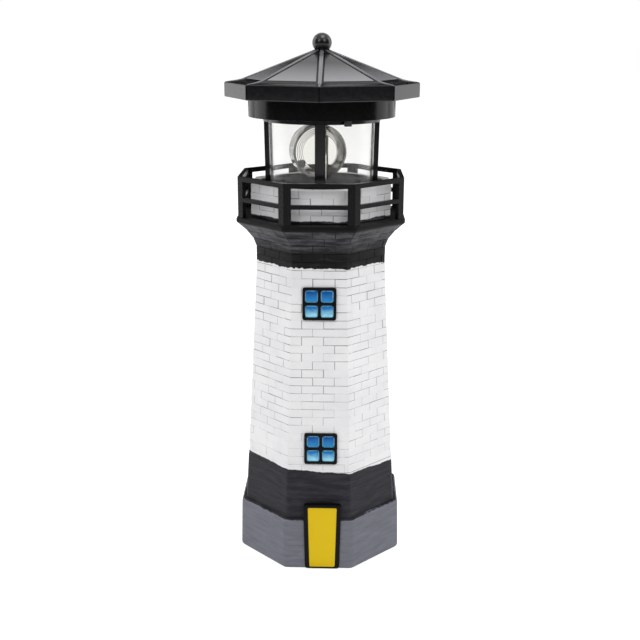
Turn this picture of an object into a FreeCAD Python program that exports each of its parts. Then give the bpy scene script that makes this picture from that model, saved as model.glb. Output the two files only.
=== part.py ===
import FreeCAD, Part
import Sketcher
import math
import os
import re
from FreeCAD import Placement, Rotation, Vector

# Garden lighthouse ornament: a hollow eight-sided casting with a gallery railing, and a head that
# lifts out of it. The head holds a solar roof, a battery drum and a glazed lantern in which a lens
# turns round a lamp. Millimetres, +Z up, origin at the middle of the base, front towards -Y.

doc = FreeCAD.newDocument("garden_lighthouse")

# ---- Driving dimensions ----

SIZES = {
    # Casting
    "total_height": 270,          # ground to the top of the finial ball
    "base_flats": 85,             # plinth across flats
    "plinth_height": 27.5,        # ground to the top of the plinth
    "plinth_draft": 0.6,          # plinth narrows by this on each side
    "plinth_edge": 1.2,           # worn bevel round the foot and the top of the plinth
    "shaft_foot_flats": 79,       # tapered shaft across flats where it meets the plinth
    "neck_flats": 65.4,           # shaft across flats at the neck
    "neck_rise": 7.5,             # straight neck under the corbel
    "corbel_rise": 15.4,          # foot of the corbel to the gallery floor
    "corbel_curve": 1.65,         # exponent of the flare
    "lip_flats": 84.4,            # gallery lip across flats
    "lip_height": 2.2,            # straight edge of the gallery lip
    "lip_bevel": 0.6,             # bevel on the gallery lip
    "gallery_wall_flats": 70,     # parapet wall behind the railing, across flats
    "parapet_rise": 16.3,         # gallery floor to the top of the parapet wall
    "cavity_radius": 34.5,        # hollow of the casting at its open foot
    "socket_radius": 27,          # bore that takes the plug of the head
    "socket_lift": 2,             # the bore starts this far above the foot of the neck

    # Relief on the front face
    "window_width": 16.2,         # window frame
    "window_height": 16.4,        # window frame
    "window_relief": 1.4,         # window frame stands out of the wall by this
    "window_bar": 1.6,            # width of frame and glazing bars
    "pane_depth": 0.6,            # panes lie this far behind the frame
    "upper_window_drop": 25.3,    # foot of the neck to the lower edge of the upper window
    "lower_window_lift": 30,      # top of the plinth to the lower edge of the lower window
    "lower_window_right": 1,      # lower window to the right of the middle
    "door_width": 19.3,           # door frame
    "door_bottom": 0.4,           # height of the sill
    "door_height": 36,            # door frame
    "door_right": 2,              # door to the right of the middle
    "door_relief": 0.3,           # door frame stands out of the plinth by this
    "door_bar": 2.1,              # width of the door frame
    "door_depth": 0.8,            # door panel lies this far behind its frame
    "door_sill": 0.8,             # sill under the door panel

    # Railing
    "railing_flats": 82.4,        # railing across flats
    "rail_thickness": 2.2,        # rails and posts, radially
    "railing_height": 20.3,       # gallery floor to the top of the railing
    "top_rail_height": 2.3,       # top rail
    "mid_rail_lift": 8,           # gallery floor to the middle rail
    "mid_rail_height": 2,         # middle rail
    "corner_post": 3.6,           # corner post along each face
    "peg_radius": 0.8,            # pegs under the corner posts
    "peg_length": 3,              # pegs under the corner posts

    # Deck, plug and lantern
    "deck_radius": 31.5,          # deck plate
    "deck_thickness": 2,          # deck plate
    "deck_recess": 1,             # deck plate lies this far below the parapet top
    "plug_radius": 26.6,          # gear housing that goes down the bore
    "plug_length": 27.2,          # top of the parapet wall to the underside of the housing cover
    "housing_wall": 1.6,          # housing wall and cover
    "lantern_rise": 33.5,         # deck to drum
    "post_width": 5.1,            # lantern posts
    "post_thickness": 2.4,        # lantern posts, radially
    "lantern_top_radius": 29.2,   # posts under the drum
    "lantern_bottom_radius": 28.6,# posts on the deck
    "ring_rim": 0.3,              # rings stand this far out of the posts
    "lantern_ring_height": 2.2,   # ring under the drum
    "lantern_sill_height": 1.4,   # ring on the deck
    "glass_wall": 1.2,            # glazing tube
    "glass_gap": 0.2,             # glazing to its frame, deck and drum
    "channel_width": 2.2,         # wire channel in the rear post
    "channel_depth": 2,           # wire channel in the rear post
    "channel_inset": 1.2,         # middle of the wires to the inner side of their channel
    "wire_radius": 0.4,           # insulated wires
    "wire_drop": 1.5,             # slot in the deck reaches this far inside the housing wall
    "wire_bend": 0.8,             # wires turn down this far inside the housing wall
    "wire_tail": 6,               # ends of the wires in the housing and in the drum

    # Drum and roof
    "drum_radius": 36.9,          # battery drum
    "drum_drop": 9.3,             # underside of the drum to the roof's lower edge
    "drum_floor": 2,              # drum floor
    "drum_wall": 1.5,             # drum wall
    "soffit_lift": 1.2,           # roof's lower edge to the soffit
    "soffit_thickness": 1.4,      # soffit round the drum
    "eave_overhang": 12.1,        # drum wall to the corners of the roof
    "eave_height": 7.2,           # upright edge of the roof
    "flare_run": 9,               # flare above the edge, along the hip
    "flare_rise": 1.3,            # flare above the edge
    "roof_rise": 14.3,            # straight slope from the flare to the flat top
    "apex_radius": 3.2,           # flat top of the roof
    "roof_wall": 2.2,             # roof shell
    "sloping_wall": 2.42,         # roof shell, measured upwards
    "hip_width": 2.4,             # ribs along the hips
    "hip_rise": 0.5,              # ribs stand this far above the hips
    "hip_start": 1,               # ribs start this far down the slope
    "hip_root": 1,                # ribs reach this far into the shell
    "ball_radius": 4.8,           # finial ball
    "ball_lift": 3.4,             # middle of the ball above the flat top of the roof
    "spigot_radius": 2,           # finial spigot in the apex
    "cell_thickness": 1,          # solar cells
    "cell_start": 5,              # slope from the apex to the upper edge of a cell
    "cell_rim": 1.4,              # lower edge of a cell to the end of the straight slope
    "cell_margin": 1.7,           # solar cell to the middle of the hip
    "gasket_gap": 0.4,            # seal and skirt to the drum wall
    "gasket_width": 1.6,          # seal on the soffit
    "gasket_thickness": 1,        # seal on the soffit
    "boss_gap": 0.35,             # roof screw bosses to the seal
    "flare_share": 0.32,          # height of the flare's middle, as a share of its rise

    # Electrical parts in the drum
    "battery_radius": 7.1,        # size AA rechargeable cell
    "battery_length": 50.3,       # size AA rechargeable cell
    "battery_offset": 10,         # cell behind the axis
    "cradle_wall": 0.8,           # battery cradle
    "cradle_end": 2.8,            # room for the contact at each end of the cell
    "cradle_rim": 2,              # cradle reaches this far above the middle of the cell
    "button_radius": 2.6,         # positive end of the cell
    "button_height": 1.2,         # positive end of the cell
    "contact_side": 8,            # contacts
    "plate_thickness": 0.5,       # flat contact
    "spring_width": 4,            # spring contact
    "spring_thickness": 0.4,      # spring contact
    "spring_tip": 4.4,            # spring contact, height of its tip
    "board_length": 28,           # circuit board
    "board_width": 20,            # circuit board
    "board_front": 25,            # front edge of the board from the axis
    "board_thickness": 1.6,       # circuit board
    "board_height": 5.3,          # board above the drum floor
    "board_screw_inset": 3,       # board screws from the ends of the board
    "chip_length": 5,             # driver chip
    "chip_width": 4,              # driver chip
    "chip_height": 1.5,           # driver chip
    "chip_front": 14,             # driver chip, front of the axis
    "capacitor_radius": 2.5,      # capacitor
    "capacitor_height": 6,        # capacitor
    "capacitor_left": 6,          # capacitor, left of the axis
    "capacitor_front": 19,        # capacitor, front of the axis
    "coil_side": 5,               # coil
    "coil_height": 3,             # coil
    "coil_right": 3,              # coil, right of the axis
    "coil_front": 22.5,           # coil, front of the axis
    "switch_length": 8,           # switch body
    "switch_width": 4,            # switch body
    "switch_height": 3.6,         # switch body
    "switch_circle": 31.95,       # switch from the axis
    "switch_angle": 26.2,         # switch to the right of the front, in degrees
    "slider_length": 3.4,         # switch nub, along its travel
    "slider_width": 1.8,          # switch nub
    "slider_reach": 2.8,          # switch nub below the drum
    "slider_head": 2,             # slider inside the switch body
    "switch_travel": 2,           # switch from on to off

    # Lens and its drive
    "gear_module": 0.6,           # spur teeth
    "wheel_teeth": 40,            # wheel on the lens hub
    "pinion_teeth": 12,           # pinion on the motor shaft
    "gear_width": 3.2,            # spur wheel
    "gear_backlash": 0.1,         # play in the mesh
    "stub_height": 0.8,           # tooth above the pitch circle, in modules
    "pressure_angle": 20,         # tooth flanks, in degrees
    "hub_radius": 4,              # lens hub
    "hub_end": 0.9,               # hub reaches this far below its wheel
    "clip_radius": 5.8,           # clip that holds the wheel on the hub
    "clip_thickness": 0.6,        # clip that holds the wheel on the hub
    "bush_wall": 1.6,             # bush in the deck
    "flange_width": 2,            # flange of the bush
    "flange_thickness": 0.4,      # flange of the bush
    "turntable_radius": 20.5,     # turntable
    "turntable_thickness": 1.5,   # turntable
    "notch_width": 2.6,           # notches in the turntable rim
    "notch_depth": 2,             # notches in the turntable rim
    "notch_count": 8,             # notches in the turntable rim
    "hoop_radius": 13.9,          # lens hoop
    "hoop_wall": 1,               # lens hoop
    "hoop_length": 13,            # lens hoop from front to back
    "hoop_front": 3.2,            # lamp axis to the front of the hoop
    "hoop_seat": 0.8,             # hoop sinks this far into the turntable
    "lens_heading": 14,           # lens faces this far to the right of the front, in degrees
    "lens_thickness": 1.8,        # bull's-eye lens
    "bullseye_radius": 9.2,       # plain middle of the lens
    "prism_count": 5,             # prism rings round the plain middle
    "prism_depth": 0.8,           # grooves between the prism rings
    "stalk_radius": 2.4,          # lamp stalk
    "stalk_rise": 8.8,            # deck to the top of the lamp stalk
    "stalk_wall": 0.9,            # lamp stalk
    "stalk_foot_radius": 6,       # foot of the lamp stalk
    "stalk_foot_height": 1.4,     # foot of the lamp stalk
    "lamp_radius": 2.5,           # lamp
    "lamp_height": 5.1,           # straight part of the lamp
    "collar_radius": 2.9,         # collar at the foot of the lamp
    "collar_height": 1,           # collar at the foot of the lamp
    "lead_offset": 0.7,           # leads from the middle of the stalk
    "motor_radius": 6,            # gear motor
    "motor_length": 13.2,         # gear motor
    "shaft_radius": 0.75,         # motor shaft
    "shaft_inside": 3,            # motor shaft inside the motor
    "bracket_edge": 1,            # bracket plate beyond the sleeve
    "bracket_thickness": 1.4,     # motor bracket
    "bracket_foot_x": 19,         # bracket legs to the right of the axis
    "bracket_foot_y": 9,          # bracket legs in front of and behind the axis
    "sleeve_wall": 1.3,           # sleeve round the motor
    "sleeve_length": 9,           # sleeve round the motor

    # Fits and fasteners
    "slip": 0.05,                 # radial play of a shaft in its hole
    "play": 0.1,                  # gap between parts that slide past each other
    "seat_gap": 0.2,              # gap round a part dropped into a recess
    "screw_radius": 0.8,          # small screws
    "screw_head": 1.7,            # head of the small screws
    "screw_head_height": 1,       # head of the small screws
    "boss_radius": 2.2,           # screw bosses
    "cover_boss_radius": 2.6,     # bosses that take the cover screws
    "cover_boss_height": 6,       # bosses that take the cover screws
    "cover_screw_grip": 5,        # cover screws reach this far into their bosses
    "post_screw_grip": 2.5,       # foot screws reach this far into the posts
    "top_screw_grip": 4,          # drum screws reach this far into the posts
    "board_screw_grip": 3,        # board screws reach this far into their standoffs
    "roof_screw_grip": 2.5,       # roof screws reach this far into their bosses
    "bore_spare": 1,              # blind screw holes run on below the end of the screw
}

sizes = doc.addObject("Spreadsheet::Sheet", "sizes")
size_names = list(SIZES)
for row, name in enumerate(size_names, start=1):
    sizes.set(f"A{row}", name)
    sizes.set(f"B{row}", str(SIZES[name]))
    sizes.setAlias(f"B{row}", name)
doc.recompute()

# ---- Levels and radii that several pieces share: each is a sum of driving dimensions ----
# Everything hangs from the total height, so that a taller ornament has a longer shaft.

LEVELS = {
    "apex_height": "total_height - ball_radius - ball_lift",
    "flare_height": "apex_height - roof_rise",
    "eave_top": "flare_height - flare_rise",
    "eave_bottom": "eave_top - eave_height",
    "soffit_bottom": "eave_bottom + soffit_lift",
    "drum_bottom": "eave_bottom - drum_drop",
    "deck_top": "drum_bottom - lantern_rise",
    "stalk_top": "deck_top + stalk_rise",
    "gallery_wall_top": "deck_top + deck_recess",
    "plug_bottom": "gallery_wall_top - plug_length",
    "gallery_floor": "gallery_wall_top - parapet_rise",
    "railing_top": "gallery_floor + railing_height",
    "mid_rail_bottom": "gallery_floor + mid_rail_lift",
    "corbel_bottom": "gallery_floor - corbel_rise",
    "neck_bottom": "corbel_bottom - neck_rise",
    "socket_bottom": "neck_bottom + socket_lift",
    "upper_window_bottom": "neck_bottom - upper_window_drop",
    "lower_window_bottom": "plinth_height + lower_window_lift",
    "roof_corner_radius": "drum_radius + eave_overhang",
    "flare_radius": "roof_corner_radius - flare_run",
}


def number(name):
    """Value of a driving dimension or a level, for places worked out in code."""
    if name in size_names:
        return float(sizes.get(name))
    terms = re.findall(r"([+-]?) ?([a-z_]+)", LEVELS[name])
    return sum(-number(term) if sign == "-" else number(term) for sign, term in terms)


HALF_TURN = 22.5
DOOR_FRONT = "(base_flats / 2 + door_relief)"
DECK_BOTTOM = "(deck_top - deck_thickness)"
DRUM_FLOOR_TOP = "(drum_bottom + drum_floor)"
DRUM_INSIDE = "(drum_radius - drum_wall)"
SOFFIT_TOP = "(soffit_bottom + soffit_thickness)"
ROOF_INSIDE = "(roof_corner_radius - roof_wall / cos(22.5))"
HOUSING_BOTTOM = "(plug_bottom + housing_wall)"
HOUSING_INSIDE = "(plug_radius - housing_wall)"
GLASS_TOP_RADIUS = "(lantern_top_radius - post_thickness - glass_gap)"
GLASS_BOTTOM_RADIUS = "(lantern_bottom_radius - post_thickness - glass_gap)"
BUSH_TOP = "(deck_top + flange_thickness)"
TURNTABLE_BOTTOM = f"({BUSH_TOP} + play)"
TURNTABLE_TOP = f"({TURNTABLE_BOTTOM} + turntable_thickness)"
GEAR_TOP = f"({DECK_BOTTOM} - flange_thickness - play - play)"
GEAR_BOTTOM = f"({GEAR_TOP} - gear_width)"
GEAR_CENTRES = "((wheel_teeth + pinion_teeth) * gear_module / 2)"
BRACKET_TOP = f"({GEAR_BOTTOM} - 4 * play)"
BRACKET_BOTTOM = f"({BRACKET_TOP} - bracket_thickness)"
HOOP_CENTRE = f"({TURNTABLE_TOP} - hoop_seat + hoop_radius)"
BOARD_TOP = f"({DRUM_FLOOR_TOP} + board_height + board_thickness)"
BATTERY_HEIGHT = f"({DRUM_FLOOR_TOP} + cradle_wall + play + battery_radius)"


# ---- Ways of making a piece ----
# A piece that cuts another runs 1 mm past the faces it opens, so that no skin is left standing.

def bind(thing, prop, formula):
    """Bind a property to a formula of the sheet's names and the levels."""
    def cell(match):
        word = match.group()
        if word in LEVELS:
            return f"({spelt_out(LEVELS[word])})"
        return f"sizes.{word}" if word in size_names else word

    def spelt_out(text):
        return re.sub(r"[a-z_]+", cell, text)

    thing.setExpression(prop, spelt_out(str(formula)))


def put(thing, x="0", y="0", z="0", rotation=None):
    """Place a piece: bound position, and a rotation worked out in code."""
    thing.Placement = Placement(Vector(), rotation or Rotation())
    for axis, formula in (("x", x), ("y", y), ("z", z)):
        bind(thing, f"Placement.Base.{axis}", formula)
    return thing


def about_z(degrees):
    return Rotation(Vector(0, 0, 1), degrees)


def box(name, length, width, height, x="0", y="0", z="0", rotation=None):
    """Box whose corner with the smallest coordinates lies at x, y, z before it is turned."""
    block = doc.addObject("Part::Box", name)
    bind(block, "Length", length)
    bind(block, "Width", width)
    bind(block, "Height", height)
    return put(block, x, y, z, rotation)


def rod(name, radius, height, x="0", y="0", z="0", rotation=None):
    """Cylinder standing on x, y, z."""
    cylinder = doc.addObject("Part::Cylinder", name)
    bind(cylinder, "Radius", radius)
    bind(cylinder, "Height", height)
    return put(cylinder, x, y, z, rotation)


def fuse(name, parts):
    union = doc.addObject("Part::MultiFuse", name)
    union.Shapes = parts
    return union


def cut(name, base, tools):
    """Base less its tools."""
    difference = doc.addObject("Part::Cut", name)
    difference.Base = base
    difference.Tool = tools[0] if len(tools) == 1 else fuse(f"{name}_tools", tools)
    return difference


def group(name, parts):
    """Separate equal solids that share one node, such as a set of screws."""
    compound = doc.addObject("Part::Compound", name)
    compound.Links = parts
    return compound


def octagonal(name, levels, corner_first=False):
    """Solid through eight-sided sections; each level is (half width across flats, height)."""
    sections = []
    for index, (half_width, height) in enumerate(levels):
        ring = doc.addObject("Part::RegularPolygon", f"{name}_section_{index}")
        ring.Polygon = 8
        bind(ring, "Circumradius", f"({half_width}) / cos(22.5)")
        put(ring, z=height, rotation=about_z(0 if corner_first else HALF_TURN))
        sections.append(ring)
    loft = doc.addObject("Part::Loft", name)
    loft.Sections = sections
    loft.Solid = True
    loft.Ruled = True
    return loft


def outline(body, name, plane, corners):
    """Closed sketch on one of the body's own planes; both coordinates of each corner are bound."""
    sketch = body.newObject("Sketcher::SketchObject", name)
    support = [item for item in body.Origin.OriginFeatures if item.Role == plane][0]
    sketch.AttachmentSupport = [(support, "")]
    sketch.MapMode = "FlatFace"
    count = len(corners)
    turns = [2 * math.pi * i / count for i in range(count)]
    rough = [Vector(20 + 9 * math.cos(turn), 9 * math.sin(turn)) for turn in turns]
    for i in range(count):
        sketch.addGeometry(Part.LineSegment(rough[i], rough[(i + 1) % count]))
    for i in range(count):
        sketch.addConstraint(Sketcher.Constraint("Coincident", i, 2, (i + 1) % count, 1))
    for i, corner in enumerate(corners):
        for kind, letter, formula, start in (("DistanceX", "x", corner[0], rough[i].x),
                                             ("DistanceY", "y", corner[1], rough[i].y)):
            index = sketch.addConstraint(Sketcher.Constraint(kind, -1, 1, i, 1, start))
            sketch.renameConstraint(index, f"{letter}{i}")
            bind(sketch, f"Constraints.{letter}{i}", formula)
    return sketch


def turned(name, corners):
    """Piece turned about the Z axis from its outline of (radius, height) corners."""
    body = doc.addObject("PartDesign::Body", name)
    sketch = outline(body, f"{name}_outline", "XZ_Plane", corners)
    revolution = body.newObject("PartDesign::Revolution", f"{name}_revolution")
    revolution.Profile = sketch
    revolution.ReferenceAxis = (sketch, ["V_Axis"])
    revolution.Angle = 360
    body.Tip = revolution
    return body


def padded(name, corners, height, plane="XY_Plane"):
    """Piece of even thickness from its outline."""
    body = doc.addObject("PartDesign::Body", name)
    sketch = outline(body, f"{name}_outline", plane, corners)
    pad = body.newObject("PartDesign::Pad", f"{name}_pad")
    pad.Profile = sketch
    bind(pad, "Length", height)
    body.Tip = pad
    return body


def screw(name, x, y, head_at, up, length):
    """Screw on a vertical axis; its head's bearing face is at head_at and its shank points up or down."""
    if up:
        head = rod(f"{name}_head", "screw_head", "screw_head_height", x, y, f"{head_at} - screw_head_height")
        shank = rod(f"{name}_shank", "screw_radius", length, x, y, head_at)
    else:
        head = rod(f"{name}_head", "screw_head", "screw_head_height", x, y, head_at)
        shank = rod(f"{name}_shank", "screw_radius", length, x, y, f"{head_at} - {length}")
    return fuse(name, [head, shank])


def gear(name, teeth, bore, height):
    """Spur wheel with stub involute teeth, one tooth on +X, standing on the XY plane."""
    module = number("gear_module")
    pitch = teeth * module / 2
    pressure = math.radians(number("pressure_angle"))
    base = pitch * math.cos(pressure)
    root = pitch - module
    tip = pitch + number("stub_height") * module
    half_at_pitch = math.pi / (2 * teeth) - number("gear_backlash") / (4 * pitch)

    def involute(angle):
        return math.tan(angle) - angle

    def half_angle(radius):
        slope = math.acos(min(1, base / radius))
        return half_at_pitch + involute(pressure) - involute(slope)

    radii = [root] + [max(base, root) + (tip - max(base, root)) * step / 3 for step in range(4)]
    corners = []
    for tooth in range(teeth):
        middle = 2 * math.pi * tooth / teeth
        for side, order in ((-1, radii), (1, radii[::-1])):
            for radius in order:
                angle = middle + side * half_angle(radius)
                corners.append(Vector(radius * math.cos(angle), radius * math.sin(angle), 0))
    face = Part.Face(Part.makePolygon(corners + corners[:1]))
    wheel = face.extrude(Vector(0, 0, height))
    feature = doc.addObject("Part::Feature", name)
    feature.Shape = wheel.cut(Part.makeCylinder(bore, height))
    return feature


# ---- Tower: one hollow casting ----

plinth = octagonal("plinth", [
    ("base_flats / 2 - plinth_edge", "0"),
    ("base_flats / 2", "plinth_edge"),
    ("base_flats / 2 - plinth_draft", "plinth_height - plinth_edge"),
    ("base_flats / 2 - plinth_draft - plinth_edge", "plinth_height"),
])
shaft = octagonal("shaft", [
    ("shaft_foot_flats / 2", "plinth_edge"),
    ("shaft_foot_flats / 2", "plinth_height"),
    ("neck_flats / 2", "neck_bottom"),
    ("neck_flats / 2", "corbel_bottom"),
])
corbel_steps = 5
flare_top = "(gallery_floor - lip_height)"
corbel_levels = []
for step in range(corbel_steps + 1):
    share = step / corbel_steps
    corbel_levels.append((f"(neck_flats + (lip_flats - neck_flats) * {share} ^ corbel_curve) / 2",
                          f"corbel_bottom + ({flare_top} - corbel_bottom) * {share}"))
corbel_levels.append(("lip_flats / 2", "gallery_floor - lip_bevel"))
corbel_levels.append(("lip_flats / 2 - lip_bevel", "gallery_floor"))
corbel = octagonal("corbel", corbel_levels)
parapet = octagonal("parapet", [
    ("gallery_wall_flats / 2", "gallery_floor"),
    ("gallery_wall_flats / 2", "gallery_wall_top"),
])

taper = (number("shaft_foot_flats") - number("neck_flats")) / 2
front_slope = math.degrees(math.atan(taper / (number("neck_bottom") - number("plinth_height"))))


def window(name, bottom, right):
    """Window frame with four recessed panes, tilted to lie on the sloping front face."""
    face_y = (f"(-(shaft_foot_flats - (shaft_foot_flats - neck_flats) * ({bottom} - plinth_height)"
              " / (neck_bottom - plinth_height)) / 2)")
    body = padded(f"{name}_frame", [
        ("-window_width / 2", "0"), ("window_width / 2", "0"),
        ("window_width / 2", "window_height"), ("-window_width / 2", "window_height"),
    ], "window_relief * 2", "XZ_Plane")
    put(body)
    pane_width = "(window_width - 3 * window_bar) / 2"
    panes = []
    for column in (-1, 1):
        for row in (0, 1):
            left_edge = "window_bar / 2" if column > 0 else f"window_bar / -2 - {pane_width}"
            pane = box(f"{name}_pane_{len(panes)}", pane_width, "pane_depth",
                       "(window_height - 3 * window_bar) / 2", left_edge, "-window_relief * 2",
                       f"window_bar + {row} * (window_height - window_bar) / 2")
            panes.append(pane)
    relief = cut(name, body, panes)
    return put(relief, right, f"{face_y} + window_relief", bottom,
               Rotation(Vector(1, 0, 0), -front_slope))


upper_window = window("upper_window", "upper_window_bottom", "0")
lower_window = window("lower_window", "lower_window_bottom", "lower_window_right")
door_block = box("door_block", "door_width", f"{DOOR_FRONT} - cavity_radius - 1", "door_height",
                 "door_right - door_width / 2", f"-{DOOR_FRONT}", "door_bottom")
door_recess = box("door_recess", "door_width - 2 * door_bar", "door_depth",
                  "door_height - door_bar - door_sill", "door_right + door_bar - door_width / 2",
                  f"-{DOOR_FRONT}", "door_bottom + door_sill")
door = cut("door", door_block, [door_recess])

hollow = turned("hollow", [
    ("0", "-1"), ("cavity_radius", "-1"), ("cavity_radius", "plinth_edge"),
    ("socket_radius", "socket_bottom"), ("socket_radius", DECK_BOTTOM),
    ("deck_radius + seat_gap", DECK_BOTTOM), ("deck_radius + seat_gap", "gallery_wall_top + 1"),
    ("0", "gallery_wall_top + 1"),
])
peg_circle = "((railing_flats - rail_thickness) / 2 / cos(22.5))"
peg_holes = []
pegs = []
for index in range(8):
    angle = HALF_TURN + 45 * index
    peg_x = f"{peg_circle} * cos({angle})"
    peg_y = f"{peg_circle} * sin({angle})"
    peg_holes.append(rod(f"peg_hole_{index}", "peg_radius + slip", "peg_length + play", peg_x, peg_y,
                         "gallery_floor - peg_length - play"))
    pegs.append(rod(f"peg_{index}", "peg_radius", "peg_length + rail_thickness", peg_x, peg_y,
                    "gallery_floor - peg_length"))
casting = fuse("casting", [plinth, shaft, corbel, parapet, upper_window, lower_window, door])
tower_shell = cut("tower_shell", casting, [hollow] + peg_holes)

# ---- Railing: eight corner posts, top rail and middle rail in one moulding ----

railing_outer = octagonal("railing_outer", [("railing_flats / 2", "gallery_floor"),
                                            ("railing_flats / 2", "railing_top")])
railing_inner = octagonal("railing_inner", [("railing_flats / 2 - rail_thickness", "gallery_floor - 1"),
                                            ("railing_flats / 2 - rail_thickness", "railing_top + 1")])
bay_width = "(railing_flats * tan(22.5) - 2 * corner_post)"
bays = []
for index in range(4):
    for level, bottom, top in (
            ("low", "gallery_floor - 1", "mid_rail_bottom"),
            ("high", "mid_rail_bottom + mid_rail_height", "railing_top - top_rail_height")):
        bay = box(f"bay_{level}_{index}", bay_width, "railing_flats + 2", f"{top} - ({bottom})",
                  f"{bay_width} / -2", "railing_flats / -2 - 1", bottom)
        turned_bay = doc.addObject("Part::Compound", f"bay_{level}_{index}_turned")
        turned_bay.Links = [bay]
        put(turned_bay, rotation=about_z(45 * index))
        bays.append(turned_bay)
railing_frame = cut("railing_frame", railing_outer, [railing_inner] + bays)
gallery_railing = fuse("gallery_railing", [railing_frame] + pegs)

# ---- Deck, bush and plug of the head ----

WIRE_CIRCLE = "(lantern_bottom_radius - post_thickness / 2 - wire_radius / 2)"
deck_disc = turned("deck_disc", [
    ("hub_radius + slip + bush_wall + slip", DECK_BOTTOM), ("deck_radius", DECK_BOTTOM),
    ("deck_radius", "deck_top"), ("hub_radius + slip + bush_wall + slip", "deck_top"),
])
wire_slot = box("wire_slot", "channel_width",
                f"{WIRE_CIRCLE} + channel_inset - {HOUSING_INSIDE} + wire_drop", "deck_thickness + 2",
                "channel_width / -2", f"{HOUSING_INSIDE} - wire_drop", f"{DECK_BOTTOM} - 1")
post_screw_angles = {"front": 270, "right": 0, "left": 180}
foot_circle = "(lantern_bottom_radius - post_thickness / 2)"
head_circle = "(lantern_top_radius - post_thickness / 2)"
deck_holes = [wire_slot]
for side, angle in post_screw_angles.items():
    x = f"{foot_circle} * cos({angle})"
    y = f"{foot_circle} * sin({angle})"
    deck_holes.append(rod(f"deck_hole_{side}", "screw_radius + slip", "deck_thickness + 2", x, y,
                          f"{DECK_BOTTOM} - 1"))
    deck_holes.append(rod(f"deck_countersink_{side}", "screw_head + slip", "screw_head_height + 1", x, y,
                          f"{DECK_BOTTOM} - 1"))
bracket_feet = [("bracket_foot_x", "bracket_foot_y"), ("bracket_foot_x", "-bracket_foot_y")]
for index, (x, y) in enumerate(bracket_feet):
    deck_holes.append(rod(f"bracket_hole_{index}", "screw_radius + slip", "deck_thickness * 0.7 + 1", x, y,
                          f"{DECK_BOTTOM} - 1"))
deck_plate = cut("deck_plate", deck_disc, deck_holes)

bearing_bush = turned("bearing_bush", [
    ("hub_radius + slip", f"{DECK_BOTTOM} - flange_thickness"),
    ("hub_radius + slip + bush_wall", f"{DECK_BOTTOM} - flange_thickness"),
    ("hub_radius + slip + bush_wall", "deck_top"),
    ("hub_radius + slip + bush_wall + flange_width", "deck_top"),
    ("hub_radius + slip + bush_wall + flange_width", BUSH_TOP),
    ("hub_radius + slip", BUSH_TOP),
])

cover_circle = f"({HOUSING_INSIDE} - boss_radius)"
housing_tube = turned("housing_tube", [
    (HOUSING_INSIDE, HOUSING_BOTTOM), ("plug_radius", HOUSING_BOTTOM),
    ("plug_radius", DECK_BOTTOM), (HOUSING_INSIDE, DECK_BOTTOM),
])
housing_bosses = []
boss_bores = []
cover_holes = []
cover_screw_parts = []
for index, angle in enumerate((90, 210, 330)):
    x = f"{cover_circle} * cos({angle})"
    y = f"{cover_circle} * sin({angle})"
    housing_bosses.append(rod(f"housing_boss_{index}", "cover_boss_radius", "cover_boss_height", x, y,
                              HOUSING_BOTTOM))
    boss_bores.append(rod(f"boss_bore_{index}", "screw_radius + slip", "cover_boss_height + 1", x, y,
                         f"{HOUSING_BOTTOM} - 1"))
    cover_holes.append(rod(f"cover_hole_{index}", "screw_radius + slip", "housing_wall + 2", x, y,
                           "plug_bottom - 1"))
    cover_screw_parts.append(screw(f"cover_screw_{index}", x, y, "plug_bottom", True,
                                    "housing_wall + cover_screw_grip"))
gear_housing = cut("gear_housing", fuse("housing_body", [housing_tube] + housing_bosses), boss_bores)
cover_disc = rod("cover_disc", "plug_radius", "housing_wall", z="plug_bottom")
housing_cover = cut("housing_cover", cover_disc, cover_holes)
cover_screws = group("cover_screws", cover_screw_parts)

# ---- Lantern: posts between two rings, and the glazing tube inside them ----

cage = turned("cage", [
    ("lantern_bottom_radius - post_thickness", "deck_top"), ("lantern_bottom_radius", "deck_top"),
    ("lantern_top_radius", "drum_bottom"), ("lantern_top_radius - post_thickness", "drum_bottom"),
])
cross = fuse("cross", [
    box("cross_x", "drum_radius * 2", "post_width", "drum_bottom", "-drum_radius", "post_width / -2"),
    box("cross_y", "post_width", "drum_radius * 2", "drum_bottom", "post_width / -2", "-drum_radius"),
])
posts = doc.addObject("Part::Common", "posts")
posts.Base = cage
posts.Tool = cross
upper_ring = turned("upper_ring", [
    ("lantern_top_radius - post_thickness", "drum_bottom - lantern_ring_height"),
    ("lantern_top_radius + ring_rim", "drum_bottom - lantern_ring_height"),
    ("lantern_top_radius + ring_rim", "drum_bottom"),
    ("lantern_top_radius - post_thickness", "drum_bottom"),
])
sill_ring = turned("sill_ring", [
    ("lantern_bottom_radius - post_thickness", "deck_top"),
    ("lantern_bottom_radius + ring_rim", "deck_top"),
    ("lantern_bottom_radius + ring_rim", f"deck_top + lantern_sill_height"),
    ("lantern_bottom_radius - post_thickness", f"deck_top + lantern_sill_height"),
])
channel = box("channel", "channel_width", "channel_depth", "drum_bottom", "channel_width / -2",
              f"{WIRE_CIRCLE} - channel_inset", "1")
frame_bores = [channel]
drum_bores = []
post_screw_parts = []
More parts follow.
